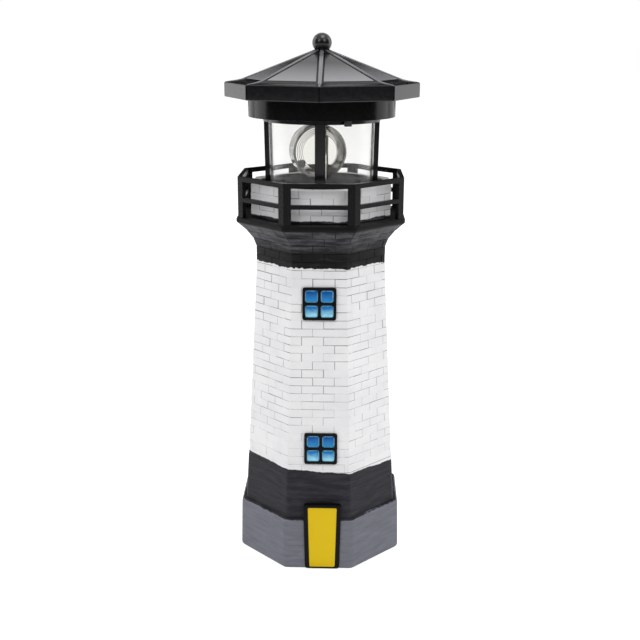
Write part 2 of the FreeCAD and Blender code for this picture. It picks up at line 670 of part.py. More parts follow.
for side, angle in post_screw_angles.items():
    foot_x = f"{foot_circle} * cos({angle})"
    foot_y = f"{foot_circle} * sin({angle})"
    head_x = f"{head_circle} * cos({angle})"
    head_y = f"{head_circle} * sin({angle})"
    frame_bores.append(rod(f"foot_bore_{side}", "screw_radius + slip", "post_screw_grip + bore_spare + 1",
                           foot_x, foot_y, f"deck_top - 1"))
    frame_bores.append(rod(f"top_bore_{side}", "screw_radius + slip", "top_screw_grip + bore_spare + 1",
                           head_x, head_y, "drum_bottom - top_screw_grip - bore_spare"))
    drum_bores.append(rod(f"drum_bore_{side}", "screw_radius + slip", "drum_floor + 2", head_x, head_y,
                          "drum_bottom - 1"))
    post_screw_parts.append(screw(f"foot_screw_{side}", foot_x, foot_y,
                                  f"({DECK_BOTTOM} + screw_head_height)", True,
                                  "deck_thickness - screw_head_height + post_screw_grip"))
    post_screw_parts.append(screw(f"top_screw_{side}", head_x, head_y, DRUM_FLOOR_TOP, False,
                                  "(drum_floor + top_screw_grip)"))
lantern_frame = cut("lantern_frame", fuse("lantern_body", [posts, upper_ring, sill_ring]), frame_bores)
post_screws = group("post_screws", post_screw_parts)
glazing = turned("glazing", [
    (f"{GLASS_BOTTOM_RADIUS} - glass_wall", f"deck_top + glass_gap"),
    (GLASS_BOTTOM_RADIUS, f"deck_top + glass_gap"),
    (GLASS_TOP_RADIUS, "drum_bottom - glass_gap"),
    (f"{GLASS_TOP_RADIUS} - glass_wall", "drum_bottom - glass_gap"),
])


def wire(name, x):
    """Wire down the rear post's channel, across the deck in its slot and into the housing."""
    reach = f"({HOUSING_INSIDE} - wire_bend)"
    level = f"({DECK_BOTTOM} + deck_thickness / 2)"
    down = rod(f"{name}_post", "wire_radius", f"{DRUM_FLOOR_TOP} + wire_tail / 3 - {level}", x,
               WIRE_CIRCLE, level)
    across = rod(f"{name}_deck", "wire_radius", f"{WIRE_CIRCLE} - {reach}", x, WIRE_CIRCLE, level,
                 Rotation(Vector(1, 0, 0), 90))
    tail = rod(f"{name}_tail", "wire_radius", "wire_tail", x, reach, f"{level} - wire_tail")
    bends = []
    for end, y in (("outer", WIRE_CIRCLE), ("inner", reach)):
        bend = doc.addObject("Part::Sphere", f"{name}_{end}_bend")
        bind(bend, "Radius", "wire_radius")
        bends.append(put(bend, x, y, level))
    return fuse(name, [down, across, tail] + bends)


feed_wires = group("feed_wires", [
    wire("red_wire", "wire_radius + play"), wire("black_wire", "-wire_radius - play"),
])

# ---- Lamp on its stalk ----

led_stalk = turned("led_stalk", [
    ("stalk_radius - stalk_wall", HOUSING_BOTTOM), ("stalk_foot_radius", HOUSING_BOTTOM),
    ("stalk_foot_radius", f"{HOUSING_BOTTOM} + stalk_foot_height"),
    ("stalk_radius", f"{HOUSING_BOTTOM} + stalk_foot_height"),
    ("stalk_radius", "stalk_top"), ("stalk_radius - stalk_wall", "stalk_top"),
])
lamp_dome = doc.addObject("Part::Sphere", "lamp_dome")
bind(lamp_dome, "Radius", "lamp_radius")
put(lamp_dome, z="stalk_top + lamp_height")
led_lamp = fuse("led_lamp", [
    rod("lamp_collar", "collar_radius", "collar_height", z="stalk_top"),
    rod("lamp_body", "lamp_radius", "lamp_height", z="stalk_top"),
    lamp_dome,
])
lamp_leads = group("lamp_leads", [
    rod(f"lead_{side}", "wire_radius", f"stalk_top - {HOUSING_BOTTOM} - play", f"{sign} * lead_offset", "0",
        f"{HOUSING_BOTTOM} + play") for side, sign in (("left", "-1"), ("right", "1"))
])

# ---- Turning lens: turntable, hoop, bull's-eye lens, spur wheel and clip ----

HUB_BOTTOM = f"({GEAR_BOTTOM} - hub_end)"
turntable_blank = turned("turntable_blank", [
    ("stalk_radius + seat_gap", HUB_BOTTOM), ("hub_radius", HUB_BOTTOM),
    ("hub_radius", TURNTABLE_BOTTOM), ("turntable_radius", TURNTABLE_BOTTOM),
    ("turntable_radius", TURNTABLE_TOP), ("stalk_radius + seat_gap", TURNTABLE_TOP),
])
notches = []
for index in range(int(number("notch_count"))):
    angle = 360 * (index + 0.5) / number("notch_count")
    notch = box(f"notch_{index}", "notch_depth + 1", "notch_width", "turntable_thickness + 2",
                "turntable_radius - notch_depth", "notch_width / -2", f"{TURNTABLE_BOTTOM} - 1")
    turned_notch = doc.addObject("Part::Compound", f"notch_{index}_turned")
    turned_notch.Links = [notch]
    put(turned_notch, rotation=about_z(angle))
    notches.append(turned_notch)

# The hoop's own axis is horizontal. In its own frame it is turned about Z, with z = 0 at its front.
facing = Rotation(Vector(0, 0, 1), number("lens_heading"))
lying = facing.multiply(Rotation(Vector(1, 0, 0), -90))
heading = math.radians(number("lens_heading"))
HOOP_X = f"hoop_front * {-math.sin(heading):.6f}"
HOOP_Y = f"hoop_front * {math.cos(heading):.6f}"
hoop_recess = rod("hoop_recess", "hoop_radius + slip", "hoop_length + 2 * play",
                  f"{HOOP_X} - play * {-math.sin(heading):.6f}", f"{HOOP_Y} - play * {math.cos(heading):.6f}",
                  HOOP_CENTRE, lying)
turntable = cut("turntable", turntable_blank, notches + [hoop_recess])
lens_hoop = turned("lens_hoop", [
    ("hoop_radius - hoop_wall", "0"), ("hoop_radius", "0"),
    ("hoop_radius", "hoop_length"), ("hoop_radius - hoop_wall", "hoop_length"),
])
put(lens_hoop, HOOP_X, HOOP_Y, HOOP_CENTRE, lying)
prism_width = "((hoop_radius - hoop_wall - slip - bullseye_radius) / prism_count)"
lens_outline = [("0", "0"), ("bullseye_radius", "0")]
for index in range(int(number("prism_count"))):
    lens_outline.append((f"bullseye_radius + {prism_width} * {index}", "prism_depth"))
    lens_outline.append((f"bullseye_radius + {prism_width} * {index + 1}", "0"))
lens_outline += [("hoop_radius - hoop_wall - slip", "lens_thickness"), ("0", "lens_thickness")]
fresnel_lens = turned("fresnel_lens", lens_outline)
put(fresnel_lens, HOOP_X, HOOP_Y, HOOP_CENTRE, lying)

drive_gear = gear("drive_gear", int(number("wheel_teeth")), number("hub_radius") + number("slip"),
                  number("gear_width"))
put(drive_gear, z=GEAR_BOTTOM)
retaining_clip = turned("retaining_clip", [
    ("hub_radius + slip", f"{GEAR_BOTTOM} - play - clip_thickness"),
    ("clip_radius", f"{GEAR_BOTTOM} - play - clip_thickness"),
    ("clip_radius", f"{GEAR_BOTTOM} - play"), ("hub_radius + slip", f"{GEAR_BOTTOM} - play"),
])

# ---- Motor with its pinion, under the deck ----

MOTOR_TOP = f"({BRACKET_BOTTOM} - play)"
MOTOR_BOTTOM = f"({MOTOR_TOP} - motor_length)"
SHAFT_LENGTH = f"({GEAR_TOP} - {BRACKET_BOTTOM} + shaft_inside)"
motor_pinion = gear("motor_pinion", int(number("pinion_teeth")), number("shaft_radius") + number("slip") / 5,
                    number("gear_width"))
put(motor_pinion, GEAR_CENTRES, z=GEAR_BOTTOM, rotation=about_z(180 / number("pinion_teeth")))
motor_shaft = rod("motor_shaft", "shaft_radius", SHAFT_LENGTH, GEAR_CENTRES,
                  z=f"{MOTOR_TOP} - shaft_inside + play")
motor_bore = rod("motor_bore", "shaft_radius + slip", "shaft_inside + 1", GEAR_CENTRES,
                 z=f"{MOTOR_TOP} - shaft_inside")
gear_motor = cut("gear_motor", rod("motor_can", "motor_radius", "motor_length", GEAR_CENTRES, z=MOTOR_BOTTOM),
                 [motor_bore])
bracket_left = f"({GEAR_CENTRES} - motor_radius - sleeve_wall - bracket_edge)"
bracket_plate = box("bracket_plate", f"bracket_foot_x + boss_radius - {bracket_left}",
                    "2 * (bracket_foot_y + boss_radius)", "bracket_thickness", bracket_left,
                    "-bracket_foot_y - boss_radius", BRACKET_BOTTOM)
bracket_sleeve = rod("bracket_sleeve", "motor_radius + sleeve_wall", "sleeve_length", GEAR_CENTRES,
                     z=f"{BRACKET_BOTTOM} - sleeve_length")
bracket_legs = []
leg_bores = []
bracket_screw_parts = []
for index, (x, y) in enumerate(bracket_feet):
    bracket_legs.append(rod(f"bracket_leg_{index}", "boss_radius", f"{DECK_BOTTOM} - {BRACKET_BOTTOM}", x, y,
                            BRACKET_BOTTOM))
    leg_bores.append(rod(f"leg_bore_{index}", "screw_radius + slip",
                         f"{DECK_BOTTOM} - {BRACKET_BOTTOM} + 2", x, y, f"{BRACKET_BOTTOM} - 1"))
    bracket_screw_parts.append(screw(f"bracket_screw_{index}", x, y, BRACKET_BOTTOM, True,
                                     f"{DECK_BOTTOM} - {BRACKET_BOTTOM} + deck_thickness * 0.6"))
motor_pocket = rod("motor_pocket", "motor_radius + slip", "sleeve_length + 1", GEAR_CENTRES,
                   z=f"{BRACKET_BOTTOM} - sleeve_length - 1")
shaft_hole = rod("shaft_hole", "shaft_radius + seat_gap", "bracket_thickness + 2", GEAR_CENTRES,
                 z=f"{BRACKET_BOTTOM} - 1")
motor_bracket = cut("motor_bracket", fuse("bracket_body", [bracket_plate, bracket_sleeve] + bracket_legs),
                    [motor_pocket, shaft_hole] + leg_bores)
bracket_screws = group("bracket_screws", bracket_screw_parts)

# ---- Battery drum with its soffit ----

drum_cup = turned("drum_cup", [
    ("0", "drum_bottom"), ("drum_radius", "drum_bottom"), ("drum_radius", SOFFIT_TOP),
    (DRUM_INSIDE, SOFFIT_TOP), (DRUM_INSIDE, DRUM_FLOOR_TOP), ("0", DRUM_FLOOR_TOP),
])
soffit_plate = octagonal("soffit_plate", [
    (f"({ROOF_INSIDE} - seat_gap) * cos(22.5)", "soffit_bottom"),
    (f"({ROOF_INSIDE} - seat_gap) * cos(22.5)", SOFFIT_TOP),
], corner_first=True)
soffit_hole = rod("soffit_hole", DRUM_INSIDE, "soffit_thickness + 2", z="soffit_bottom - 1")
standoffs = []
standoff_bores = []
board_holes = []
board_screw_parts = []
for index, side in enumerate(("-1", "1")):
    x = f"{side} * (board_length / 2 - board_screw_inset)"
    y = "board_width / 2 - board_front"
    standoffs.append(rod(f"standoff_{index}", "boss_radius", "board_height + 1", x, y,
                         f"{DRUM_FLOOR_TOP} - 1"))
    standoff_bores.append(rod(f"standoff_bore_{index}", "screw_radius + slip",
                              "board_screw_grip + bore_spare + 1", x, y,
                              f"{DRUM_FLOOR_TOP} + board_height - board_screw_grip - bore_spare"))
    board_holes.append(rod(f"board_hole_{index}", "screw_radius + slip", "board_thickness + 2", x, y,
                           f"{DRUM_FLOOR_TOP} + board_height - 1"))
    board_screw_parts.append(screw(f"board_screw_{index}", x, y, BOARD_TOP, False,
                                   "(board_thickness + board_screw_grip)"))
roof_screw_circle = "(drum_radius + gasket_gap + gasket_width + boss_gap + boss_radius)"
soffit_holes = []
roof_bosses = []
roof_bores = []
roof_screw_parts = []
for index, angle in enumerate((45, 135, 225, 315)):
    x = f"{roof_screw_circle} * cos({angle})"
    y = f"{roof_screw_circle} * sin({angle})"
    soffit_holes.append(rod(f"soffit_hole_{index}", "screw_radius + slip", "soffit_thickness + 2", x, y,
                            "soffit_bottom - 1"))
    roof_bosses.append(rod(f"roof_boss_{index}", "boss_radius", f"eave_top - 1 - {SOFFIT_TOP}", x, y,
                           SOFFIT_TOP))
    roof_bores.append(rod(f"roof_bore_{index}", "screw_radius + slip", "roof_screw_grip + bore_spare", x, y,
                          f"{SOFFIT_TOP} - 1"))
    roof_screw_parts.append(screw(f"roof_screw_{index}", x, y, "soffit_bottom", True,
                                  "soffit_thickness + roof_screw_grip"))

switch_turn = number("switch_angle")
switch_sine = math.sin(math.radians(switch_turn))
switch_cosine = math.cos(math.radians(switch_turn))


def beside_switch(name, length, width, height, bottom):
    """Box centred on the switch, turned to lie along the drum wall."""
    block = box(f"{name}_block", length, width, height, f"({length}) / -2", f"({width}) / -2", "0")
    holder = doc.addObject("Part::Compound", name)
    holder.Links = [block]
    return put(holder, f"switch_circle * {switch_sine:.6f}", f"switch_circle * {-switch_cosine:.6f}", bottom,
               about_z(switch_turn))


switch_slot = beside_switch("switch_slot", "slider_length + switch_travel + 2 * play",
                            "slider_width + 2 * play", "drum_floor + 2", "drum_bottom - 1")
rear_wire_hole = rod("rear_wire_hole", "channel_width / 2", "drum_floor + 2", "0", WIRE_CIRCLE,
                     "drum_bottom - 1")
drum_body = fuse("drum_body", [drum_cup, cut("soffit", soffit_plate, [soffit_hole])] + standoffs)
battery_drum = cut("battery_drum", drum_body,
                   [switch_slot, rear_wire_hole] + drum_bores + standoff_bores + soffit_holes)
drum_gasket = turned("drum_gasket", [
    ("drum_radius + gasket_gap", SOFFIT_TOP), ("drum_radius + gasket_gap + gasket_width", SOFFIT_TOP),
    ("drum_radius + gasket_gap + gasket_width", f"{SOFFIT_TOP} + gasket_thickness"),
    ("drum_radius + gasket_gap", f"{SOFFIT_TOP} + gasket_thickness"),
])

# ---- Electrical parts ----

board_blank = box("board_blank", "board_length", "board_width", "board_thickness", "board_length / -2",
                  "-board_front", f"{DRUM_FLOOR_TOP} + board_height")
circuit_board = cut("circuit_board", board_blank, board_holes)
board_components = group("board_components", [
    box("driver_chip", "chip_length", "chip_width", "chip_height", "chip_length / -2", "-chip_front",
        BOARD_TOP),
    rod("capacitor", "capacitor_radius", "capacitor_height", "-capacitor_left", "-capacitor_front",
        BOARD_TOP),
    box("coil", "coil_side", "coil_side", "coil_height", "coil_right", "-coil_front", BOARD_TOP),
])
board_screws = group("board_screws", board_screw_parts)

CRADLE_HALF = "(battery_length / 2 + cradle_end)"
CRADLE_SIDE = "(battery_radius + seat_gap + cradle_wall)"
cradle_block = box("cradle_block", f"{CRADLE_HALF} * 2", f"{CRADLE_SIDE} * 2", "battery_radius + cradle_rim",
                   f"-{CRADLE_HALF}", f"battery_offset - {CRADLE_SIDE}", DRUM_FLOOR_TOP)
cradle_space = box("cradle_space", f"({CRADLE_HALF} - cradle_wall) * 2", "(battery_radius + seat_gap) * 2",
                   "battery_radius + cradle_rim * 2", f"-({CRADLE_HALF} - cradle_wall)",
                   "battery_offset - battery_radius - seat_gap", f"{DRUM_FLOOR_TOP} + cradle_wall")
battery_cradle = cut("battery_cradle", cradle_block, [cradle_space])
along_x = Rotation(Vector(0, 1, 0), 90)
battery_cell = fuse("battery_cell", [
    rod("battery_can", "battery_radius", "battery_length - button_height", "battery_length / -2",
        "battery_offset", BATTERY_HEIGHT, along_x),
    rod("battery_button", "button_radius", "battery_length", "battery_length / -2", "battery_offset",
        BATTERY_HEIGHT, along_x),
])
CONTACT_HALF = f"({CRADLE_HALF} - cradle_wall - play)"
CONTACT_FOOT = f"{DRUM_FLOOR_TOP} + cradle_wall + seat_gap"
contact_plate = box("contact_plate", "plate_thickness", "contact_side", "contact_side",
                    f"{CONTACT_HALF} - plate_thickness", "battery_offset - contact_side / 2", CONTACT_FOOT)
contact_spring = padded("contact_spring", [
    (f"-{CONTACT_HALF}", "0"), (f"-{CONTACT_HALF} + spring_thickness", "0"),
    (f"-{CONTACT_HALF} + spring_thickness", "contact_side - 2 * spring_thickness"),
    ("battery_length / -2 - play", "spring_tip - 2 * spring_thickness"),
    ("battery_length / -2 - play", "spring_tip"),
    (f"-{CONTACT_HALF} + spring_thickness", "contact_side"), (f"-{CONTACT_HALF}", "contact_side"),
], "spring_width", "XZ_Plane")
put(contact_spring, "0", "battery_offset + spring_width / 2", CONTACT_FOOT)
switch_shell = beside_switch("switch_shell", "switch_length", "switch_width", "switch_height",
                             DRUM_FLOOR_TOP)
switch_cavity = beside_switch("switch_cavity", "slider_length + switch_travel + 2 * play",
                              "slider_width + 2 * play", "switch_height", f"{DRUM_FLOOR_TOP} - 1")
switch_body = cut("switch_body", switch_shell, [switch_cavity])
slider_block = box("slider_block", "slider_length", "slider_width", "slider_reach + drum_floor + slider_head",
                   "slider_length / -2 - switch_travel / 2", "slider_width / -2", "0")
switch_slider = doc.addObject("Part::Compound", "switch_slider")
switch_slider.Links = [slider_block]
put(switch_slider, f"switch_circle * {switch_sine:.6f}", f"switch_circle * {-switch_cosine:.6f}",
    "drum_bottom - slider_reach", about_z(switch_turn))

# ---- Roof: shell with hip ribs, seats for the solar cells, bosses and a sealing skirt ----

OUTSIDE_FLATS = "cos(22.5)"
flare_middle = "((roof_corner_radius + flare_radius) / 2)"
flare_middle_height = "(eave_top + (flare_height - eave_top) * flare_share)"
roof_outer = octagonal("roof_outer", [
    (f"roof_corner_radius * {OUTSIDE_FLATS}", "eave_bottom"),
    (f"roof_corner_radius * {OUTSIDE_FLATS}", "eave_top"),
    (f"{flare_middle} * {OUTSIDE_FLATS}", flare_middle_height),
    (f"flare_radius * {OUTSIDE_FLATS}", "flare_height"),
    (f"apex_radius * {OUTSIDE_FLATS}", "apex_height"),
], corner_first=True)
roof_inner = octagonal("roof_inner", [
    (f"{ROOF_INSIDE} * {OUTSIDE_FLATS}", "eave_bottom - 1"),
    (f"{ROOF_INSIDE} * {OUTSIDE_FLATS}", "eave_top - roof_wall"),
    (f"{flare_middle} * {OUTSIDE_FLATS}", f"{flare_middle_height} - sloping_wall"),
    (f"flare_radius * {OUTSIDE_FLATS}", "flare_height - sloping_wall"),
    (f"apex_radius * {OUTSIDE_FLATS}", "apex_height - sloping_wall"),
], corner_first=True)
hip_drop = number("apex_height") - number("flare_height")
hip_run = number("flare_radius") - number("apex_radius")
hip_slope = math.atan2(hip_drop, hip_run)
ribs = []
for index in range(8):
    angle = 45 * index
    outward = Vector(math.cos(math.radians(angle)), math.sin(math.radians(angle)), 0)
    down_hip = outward * math.cos(hip_slope) - Vector(0, 0, math.sin(hip_slope))
    across = Vector(-outward.y, outward.x, 0)
    rib = box(f"hip_rib_{index}", f"{math.hypot(hip_drop, hip_run):.4f} - hip_start", "hip_width",
              "hip_rise + hip_root", "hip_start", "hip_width / -2", "-hip_root")
    holder = doc.addObject("Part::Compound", f"hip_rib_{index}_turned")
    holder.Links = [rib]
    put(holder, f"apex_radius * {outward.x:.8f}", f"apex_radius * {outward.y:.8f}", "apex_height",
        Rotation(down_hip, across, Vector(), "XYZ"))
    ribs.append(holder)
skirt = turned("skirt", [
    ("drum_radius + gasket_gap", f"{SOFFIT_TOP} + gasket_thickness"),
    ("drum_radius + gasket_gap + gasket_width", f"{SOFFIT_TOP} + gasket_thickness"),
    ("drum_radius + gasket_gap + gasket_width", "eave_top - 2 * gasket_gap"),
    ("drum_radius + gasket_gap", "eave_top - gasket_gap"),
])

facet_run = hip_run * math.cos(math.radians(HALF_TURN))
facet_slope = math.atan2(hip_drop, facet_run)
CELL_END = f"({math.hypot(hip_drop, facet_run):.4f} - cell_rim)"
apex_flat = number("apex_radius") * math.cos(math.radians(HALF_TURN))


def facet_panel(name, index, gap):
    """Trapezoid lying in one facet of the roof, its face flush with the facet; gap widens it all round."""
    widen = f"(cos({math.degrees(facet_slope):.6f}) * tan(22.5))"
    start = f"(cell_start - {gap})"
    end = f"({CELL_END} + {gap})"
    start_half = f"(apex_radius * sin(22.5) + {start} * {widen} - cell_margin + {gap})"
    end_half = f"(apex_radius * sin(22.5) + {end} * {widen} - cell_margin + {gap})"
    panel = padded(name, [
        (f"-{start_half}", start), (start_half, start), (end_half, end), (f"-{end_half}", end),
    ], "cell_thickness")
    angle = math.radians(HALF_TURN + 45 * index)
    outward = Vector(math.cos(angle), math.sin(angle), 0)
    down = outward * math.cos(facet_slope) - Vector(0, 0, math.sin(facet_slope))
    normal = outward * math.sin(facet_slope) + Vector(0, 0, math.cos(facet_slope))
    put(panel, f"apex_radius * cos(22.5) * {outward.x:.8f} - cell_thickness * {normal.x:.8f}",
        f"apex_radius * cos(22.5) * {outward.y:.8f} - cell_thickness * {normal.y:.8f}",
        f"apex_height - cell_thickness * {normal.z:.8f}",
        Rotation(down.cross(normal), down, normal, "ZXY"))
    return panel


solar_cells = [facet_panel(f"solar_cell_{index + 1}", index, "0") for index in range(8)]
cell_seats = [facet_panel(f"cell_seat_{index + 1}", index, "play") for index in range(8)]
finial_bore = rod("finial_bore", "spigot_radius + slip", "roof_wall * 3", z="apex_height - roof_wall * 2")
roof_body = fuse("roof_body", [cut("roof_walls", roof_outer, [roof_inner])] + ribs + [skirt] + roof_bosses)
roof_shell = cut("roof_shell", roof_body, cell_seats + [finial_bore] + roof_bores)
roof_screws = group("roof_screws", roof_screw_parts)
finial_sphere = doc.addObject("Part::Sphere", "finial_sphere")
bind(finial_sphere, "Radius", "ball_radius")
put(finial_sphere, z="apex_height + ball_lift")
finial_flat = rod("finial_flat", "ball_radius", "ball_radius * 2", z="apex_height - ball_radius * 2")
finial_ball = fuse("finial_ball", [
    cut("finial_head", finial_sphere, [finial_flat]),
    rod("finial_spigot", "spigot_radius", "roof_wall * 2 + 1", z="apex_height - roof_wall * 2"),
])

# ---- Check every object, then write each piece to its own file ----

PIECES = [
    tower_shell, gallery_railing,
    deck_plate, bearing_bush, gear_housing, housing_cover, cover_screws, lantern_frame, post_screws, glazing,
    feed_wires, led_stalk, led_lamp, lamp_leads, gear_motor, motor_bracket, bracket_screws,
    battery_drum, drum_gasket, circuit_board, board_components, board_screws, battery_cradle, battery_cell,
    contact_plate, contact_spring, switch_body, roof_shell, finial_ball, roof_screws,
    turntable, lens_hoop, fresnel_lens, drive_gear, retaining_clip,
    motor_pinion, motor_shaft,
    switch_slider,
] + solar_cells

doc.recompute()
failed = [item.Name for item in doc.Objects if {"Invalid", "Error"} & set(item.State)]
if failed:
    raise RuntimeError(f"these did not compute: {', '.join(failed)}")
os.makedirs("parts", exist_ok=True)
for piece in PIECES:
    shape = piece.Shape
    if shape.isNull() or not shape.isValid():
        raise RuntimeError(f"{piece.Label} has no valid shape")
    shape.exportStep(f"parts/{piece.Label}.step")
    box_size = shape.BoundBox
    print(f"{piece.Label:18} solids {len(shape.Solids)}  volume {shape.Volume:10.1f}  "
          f"z {box_size.ZMin:7.2f} to {box_size.ZMax:7.2f}")
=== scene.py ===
# %% [markdown]
# # Garden lighthouse ornament
# A hollow stone-resin casting carries a plastic head: a gallery railing, a glazed lantern with a lens that
# turns round its lamp, a battery drum and an eight-sided solar roof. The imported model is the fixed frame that
# every piece below sits on. Shapes are worked out in millimetres, as a maker would measure them, and become
# metres when a mesh is made.

# %% Bring in the frame
import math
import bmesh
import bpy
from mathutils import Matrix, Vector


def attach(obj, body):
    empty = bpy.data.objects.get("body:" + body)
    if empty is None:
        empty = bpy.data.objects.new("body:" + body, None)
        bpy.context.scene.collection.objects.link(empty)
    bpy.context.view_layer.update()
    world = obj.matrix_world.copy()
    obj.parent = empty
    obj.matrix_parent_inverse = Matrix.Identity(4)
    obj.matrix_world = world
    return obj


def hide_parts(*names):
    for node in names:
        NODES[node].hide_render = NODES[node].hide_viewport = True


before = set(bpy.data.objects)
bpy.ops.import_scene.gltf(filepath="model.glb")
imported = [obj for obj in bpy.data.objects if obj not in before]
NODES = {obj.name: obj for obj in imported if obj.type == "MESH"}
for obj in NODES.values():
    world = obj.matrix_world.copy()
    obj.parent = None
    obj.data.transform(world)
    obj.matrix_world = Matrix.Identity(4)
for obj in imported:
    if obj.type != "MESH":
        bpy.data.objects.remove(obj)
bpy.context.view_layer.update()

MM = 0.001
HALF_TURN = math.radians(22.5)
print("pieces in the frame:", len(NODES))

# %% [markdown]
# ## Measures of the casting
# The casting is an octagon in plan, with a flat side to the front. Its half width changes with height: a
# stout plinth, a tapered shaft, a straight neck and a corbel that sweeps out to carry the gallery. One
# function gives that half width, so that the wall, its bricks and its windows all follow the same shape.

# %% The profile of the wall
PLINTH_TOP = 27.5
NECK_BOTTOM = 158.0
CORBEL_BOTTOM = 165.5
LIP_BOTTOM = 178.7
GALLERY_FLOOR = 180.9
PARAPET_TOP = 197.2
FOOT_HALF = 42.5
SHAFT_HALF = 39.5
NECK_HALF = 32.7
LIP_HALF = 42.2
PARAPET_HALF = 35.0
CORBEL_CURVE = 1.65
BAND_TOP = 52.6


def wall_half(height):
    """Half width across flats of the shaft, neck, corbel and parapet, at a height in millimetres."""
    if height < NECK_BOTTOM:
        share = (height - PLINTH_TOP) / (NECK_BOTTOM - PLINTH_TOP)
        return SHAFT_HALF + (NECK_HALF - SHAFT_HALF) * share
    if height < CORBEL_BOTTOM:
        return NECK_HALF
    if height < GALLERY_FLOOR:
        share = min(1, (height - CORBEL_BOTTOM) / (LIP_BOTTOM - CORBEL_BOTTOM))
        return NECK_HALF + (LIP_HALF - NECK_HALF) * share ** CORBEL_CURVE
    return PARAPET_HALF


print("half width at the neck:", wall_half(NECK_BOTTOM))

# %% [markdown]
# ## Making meshes
# Modifiers and curves give their mesh only through an object, so a passing object takes each of them into
# the scene and goes again. Three makers cover most pieces. `skin` draws a wall through rings of points, and
# `turned` spins an outline about the vertical axis, as a lathe does; both smooth gentle edges and keep crisp
# ones. `softened` copies a moulded piece of the frame and rounds its edges, because no real moulding has
# razor-sharp corners.

# %% Objects in the scene, and those that only pass
def add_object(name, data):
    """An object in the scene that shows that mesh, curve, lamp or camera."""
    thing = bpy.data.objects.new(name, data)
    bpy.context.scene.collection.objects.link(thing)
    return thing


def as_mesh(holder):
    """The plain mesh that an object's modifiers make; the object itself goes."""
    view = bpy.context.evaluated_depsgraph_get()
    mesh = bpy.data.meshes.new_from_object(holder.evaluated_get(view), depsgraph=view)
    bpy.data.objects.remove(holder)
    return mesh


def even_shading(holder):
    """Large faces decide how their edges are shaded, so that flat walls look flat up to a round edge."""
    weighted = holder.modifiers.new("even shading", "WEIGHTED_NORMAL")
    weighted.keep_sharp = True
    weighted.weight = 80


# %% Finish a mesh
def smooth(mesh, crisp):
    """Smooth shading, but for edges sharper than `crisp` degrees."""
    mesh.shade_smooth()
    mesh.set_sharp_from_angle(angle=math.radians(crisp))


def wear(mesh, material):
    """One finish all over, in place of any other."""
    mesh.materials.clear()
    mesh.materials.append(material)


def finish_mesh(mesh, material, crisp=35):
    """Merge loose points, turn the faces outwards and keep only edges sharper than `crisp` degrees."""
    work = bmesh.new()
    work.from_mesh(mesh)
    bmesh.ops.remove_doubles(work, verts=work.verts, dist=1e-6)
    bmesh.ops.dissolve_degenerate(work, edges=work.edges, dist=1e-7)
    bmesh.ops.recalc_face_normals(work, faces=work.faces)
    work.to_mesh(mesh)
    work.free()
    smooth(mesh, crisp)
    wear(mesh, material)
    holder = add_object(mesh.name, mesh)
    even_shading(holder)
    return as_mesh(holder)


def add_piece(mesh, name, body, slot, *nodes):
    """Put a finished mesh on its body, in place of the frame's nodes that it stands for."""
    piece = add_object(name, mesh)
    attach(piece, body)
    if nodes:
        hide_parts(*nodes)
    print(name, "faces:", len(mesh.polygons))


# %% Draw a skin through rings of points in millimetres
def build(name, points, faces, material, crisp=35):
    mesh = bpy.data.meshes.new(name)
    mesh.from_pydata([Vector(p) * MM for p in points], [], faces)
    return finish_mesh(mesh, material, crisp)


def bridge(rings):
    """Faces between each ring of point numbers and the next."""
    faces = []
    for ring, following in zip(rings, rings[1:]):
        for i in range(len(ring)):
            j = (i + 1) % len(ring)
            faces.append((ring[i], ring[j], following[j], following[i]))
    return faces


def skin(name, rings, material, crisp=35, ends="joined"):
    """A wall through rings of equal point count; its ends are joined to each other, capped or left open."""
    count = len(rings[0])
    loops = [range(k * count, (k + 1) * count) for k in range(len(rings))]
    faces = bridge(loops + loops[:1] if ends == "joined" else loops)
    if ends == "capped":
        faces += [tuple(loops[0]), tuple(loops[-1])]
    return build(name, [point for ring in rings for point in ring], faces, material, crisp)


def turned(name, outline, material, steps=128, crisp=35, place=Matrix()):
    """Outline of (radius, height) points spun about Z; it is a loop, or starts and ends on the axis."""
    turns = [math.tau * i / steps for i in range(steps)]
    rings = [[place @ Vector((radius * math.cos(turn), radius * math.sin(turn), height)) for turn in turns]
             for radius, height in outline]
    return skin(name, rings, material, crisp, ends="joined" if outline[0][0] else "open")


# %% Round the edges of a moulded piece
def softened(node, body, slot, material, edge=0.35, segments=2):
    """A copy of a frame piece with rounded edges, which stands for it."""
    mesh = NODES[node].data.copy()
    work = bmesh.new()
    work.from_mesh(mesh)
    bmesh.ops.remove_doubles(work, verts=work.verts, dist=2e-6)
    bmesh.ops.dissolve_limit(work, angle_limit=math.radians(0.5), verts=work.verts, edges=work.edges)
    work.to_mesh(mesh)
    work.free()
    mesh.shade_smooth()
    copy = add_object(f"{node}_softened", mesh)
    bevel = copy.modifiers.new("rounded edges", "BEVEL")
    bevel.width = edge * MM
    bevel.segments = segments
    bevel.limit_method = "ANGLE"
    bevel.angle_limit = math.radians(40)
    even_shading(copy)
    rounded = as_mesh(copy)
    wear(rounded, material)
    add_piece(rounded, f"{node}_look", body, slot, node)


# %% [markdown]
# ## Finishes
# Every finish is a small tree of nodes on object coordinates, so that it stays put from any side. A helper
# adds a node and gives back one output as a wire. Wires are added, subtracted, multiplied and divided like
# numbers, and each sign adds a Math node, so that a formula reads as on paper. A value that differs over the
# surface comes from a noise; a value that is the same everywhere is set on the shader's own socket.

# %% Nodes, and the wires between them
class Wire:
    """A node's output that takes part in plain sums; each sign adds a Math node to its tree."""

    def __init__(self, socket):
        self.socket = socket
        self.tree = socket.id_data

    def __add__(self, other):
        return calculate("ADD", self, other)

    def __sub__(self, other):
        return calculate("SUBTRACT", self, other)

    def __rsub__(self, other):
        return calculate("SUBTRACT", other, self)

    def __mul__(self, other):
        return calculate("MULTIPLY", self, other)

    def __truediv__(self, other):
        return calculate("DIVIDE", self, other)


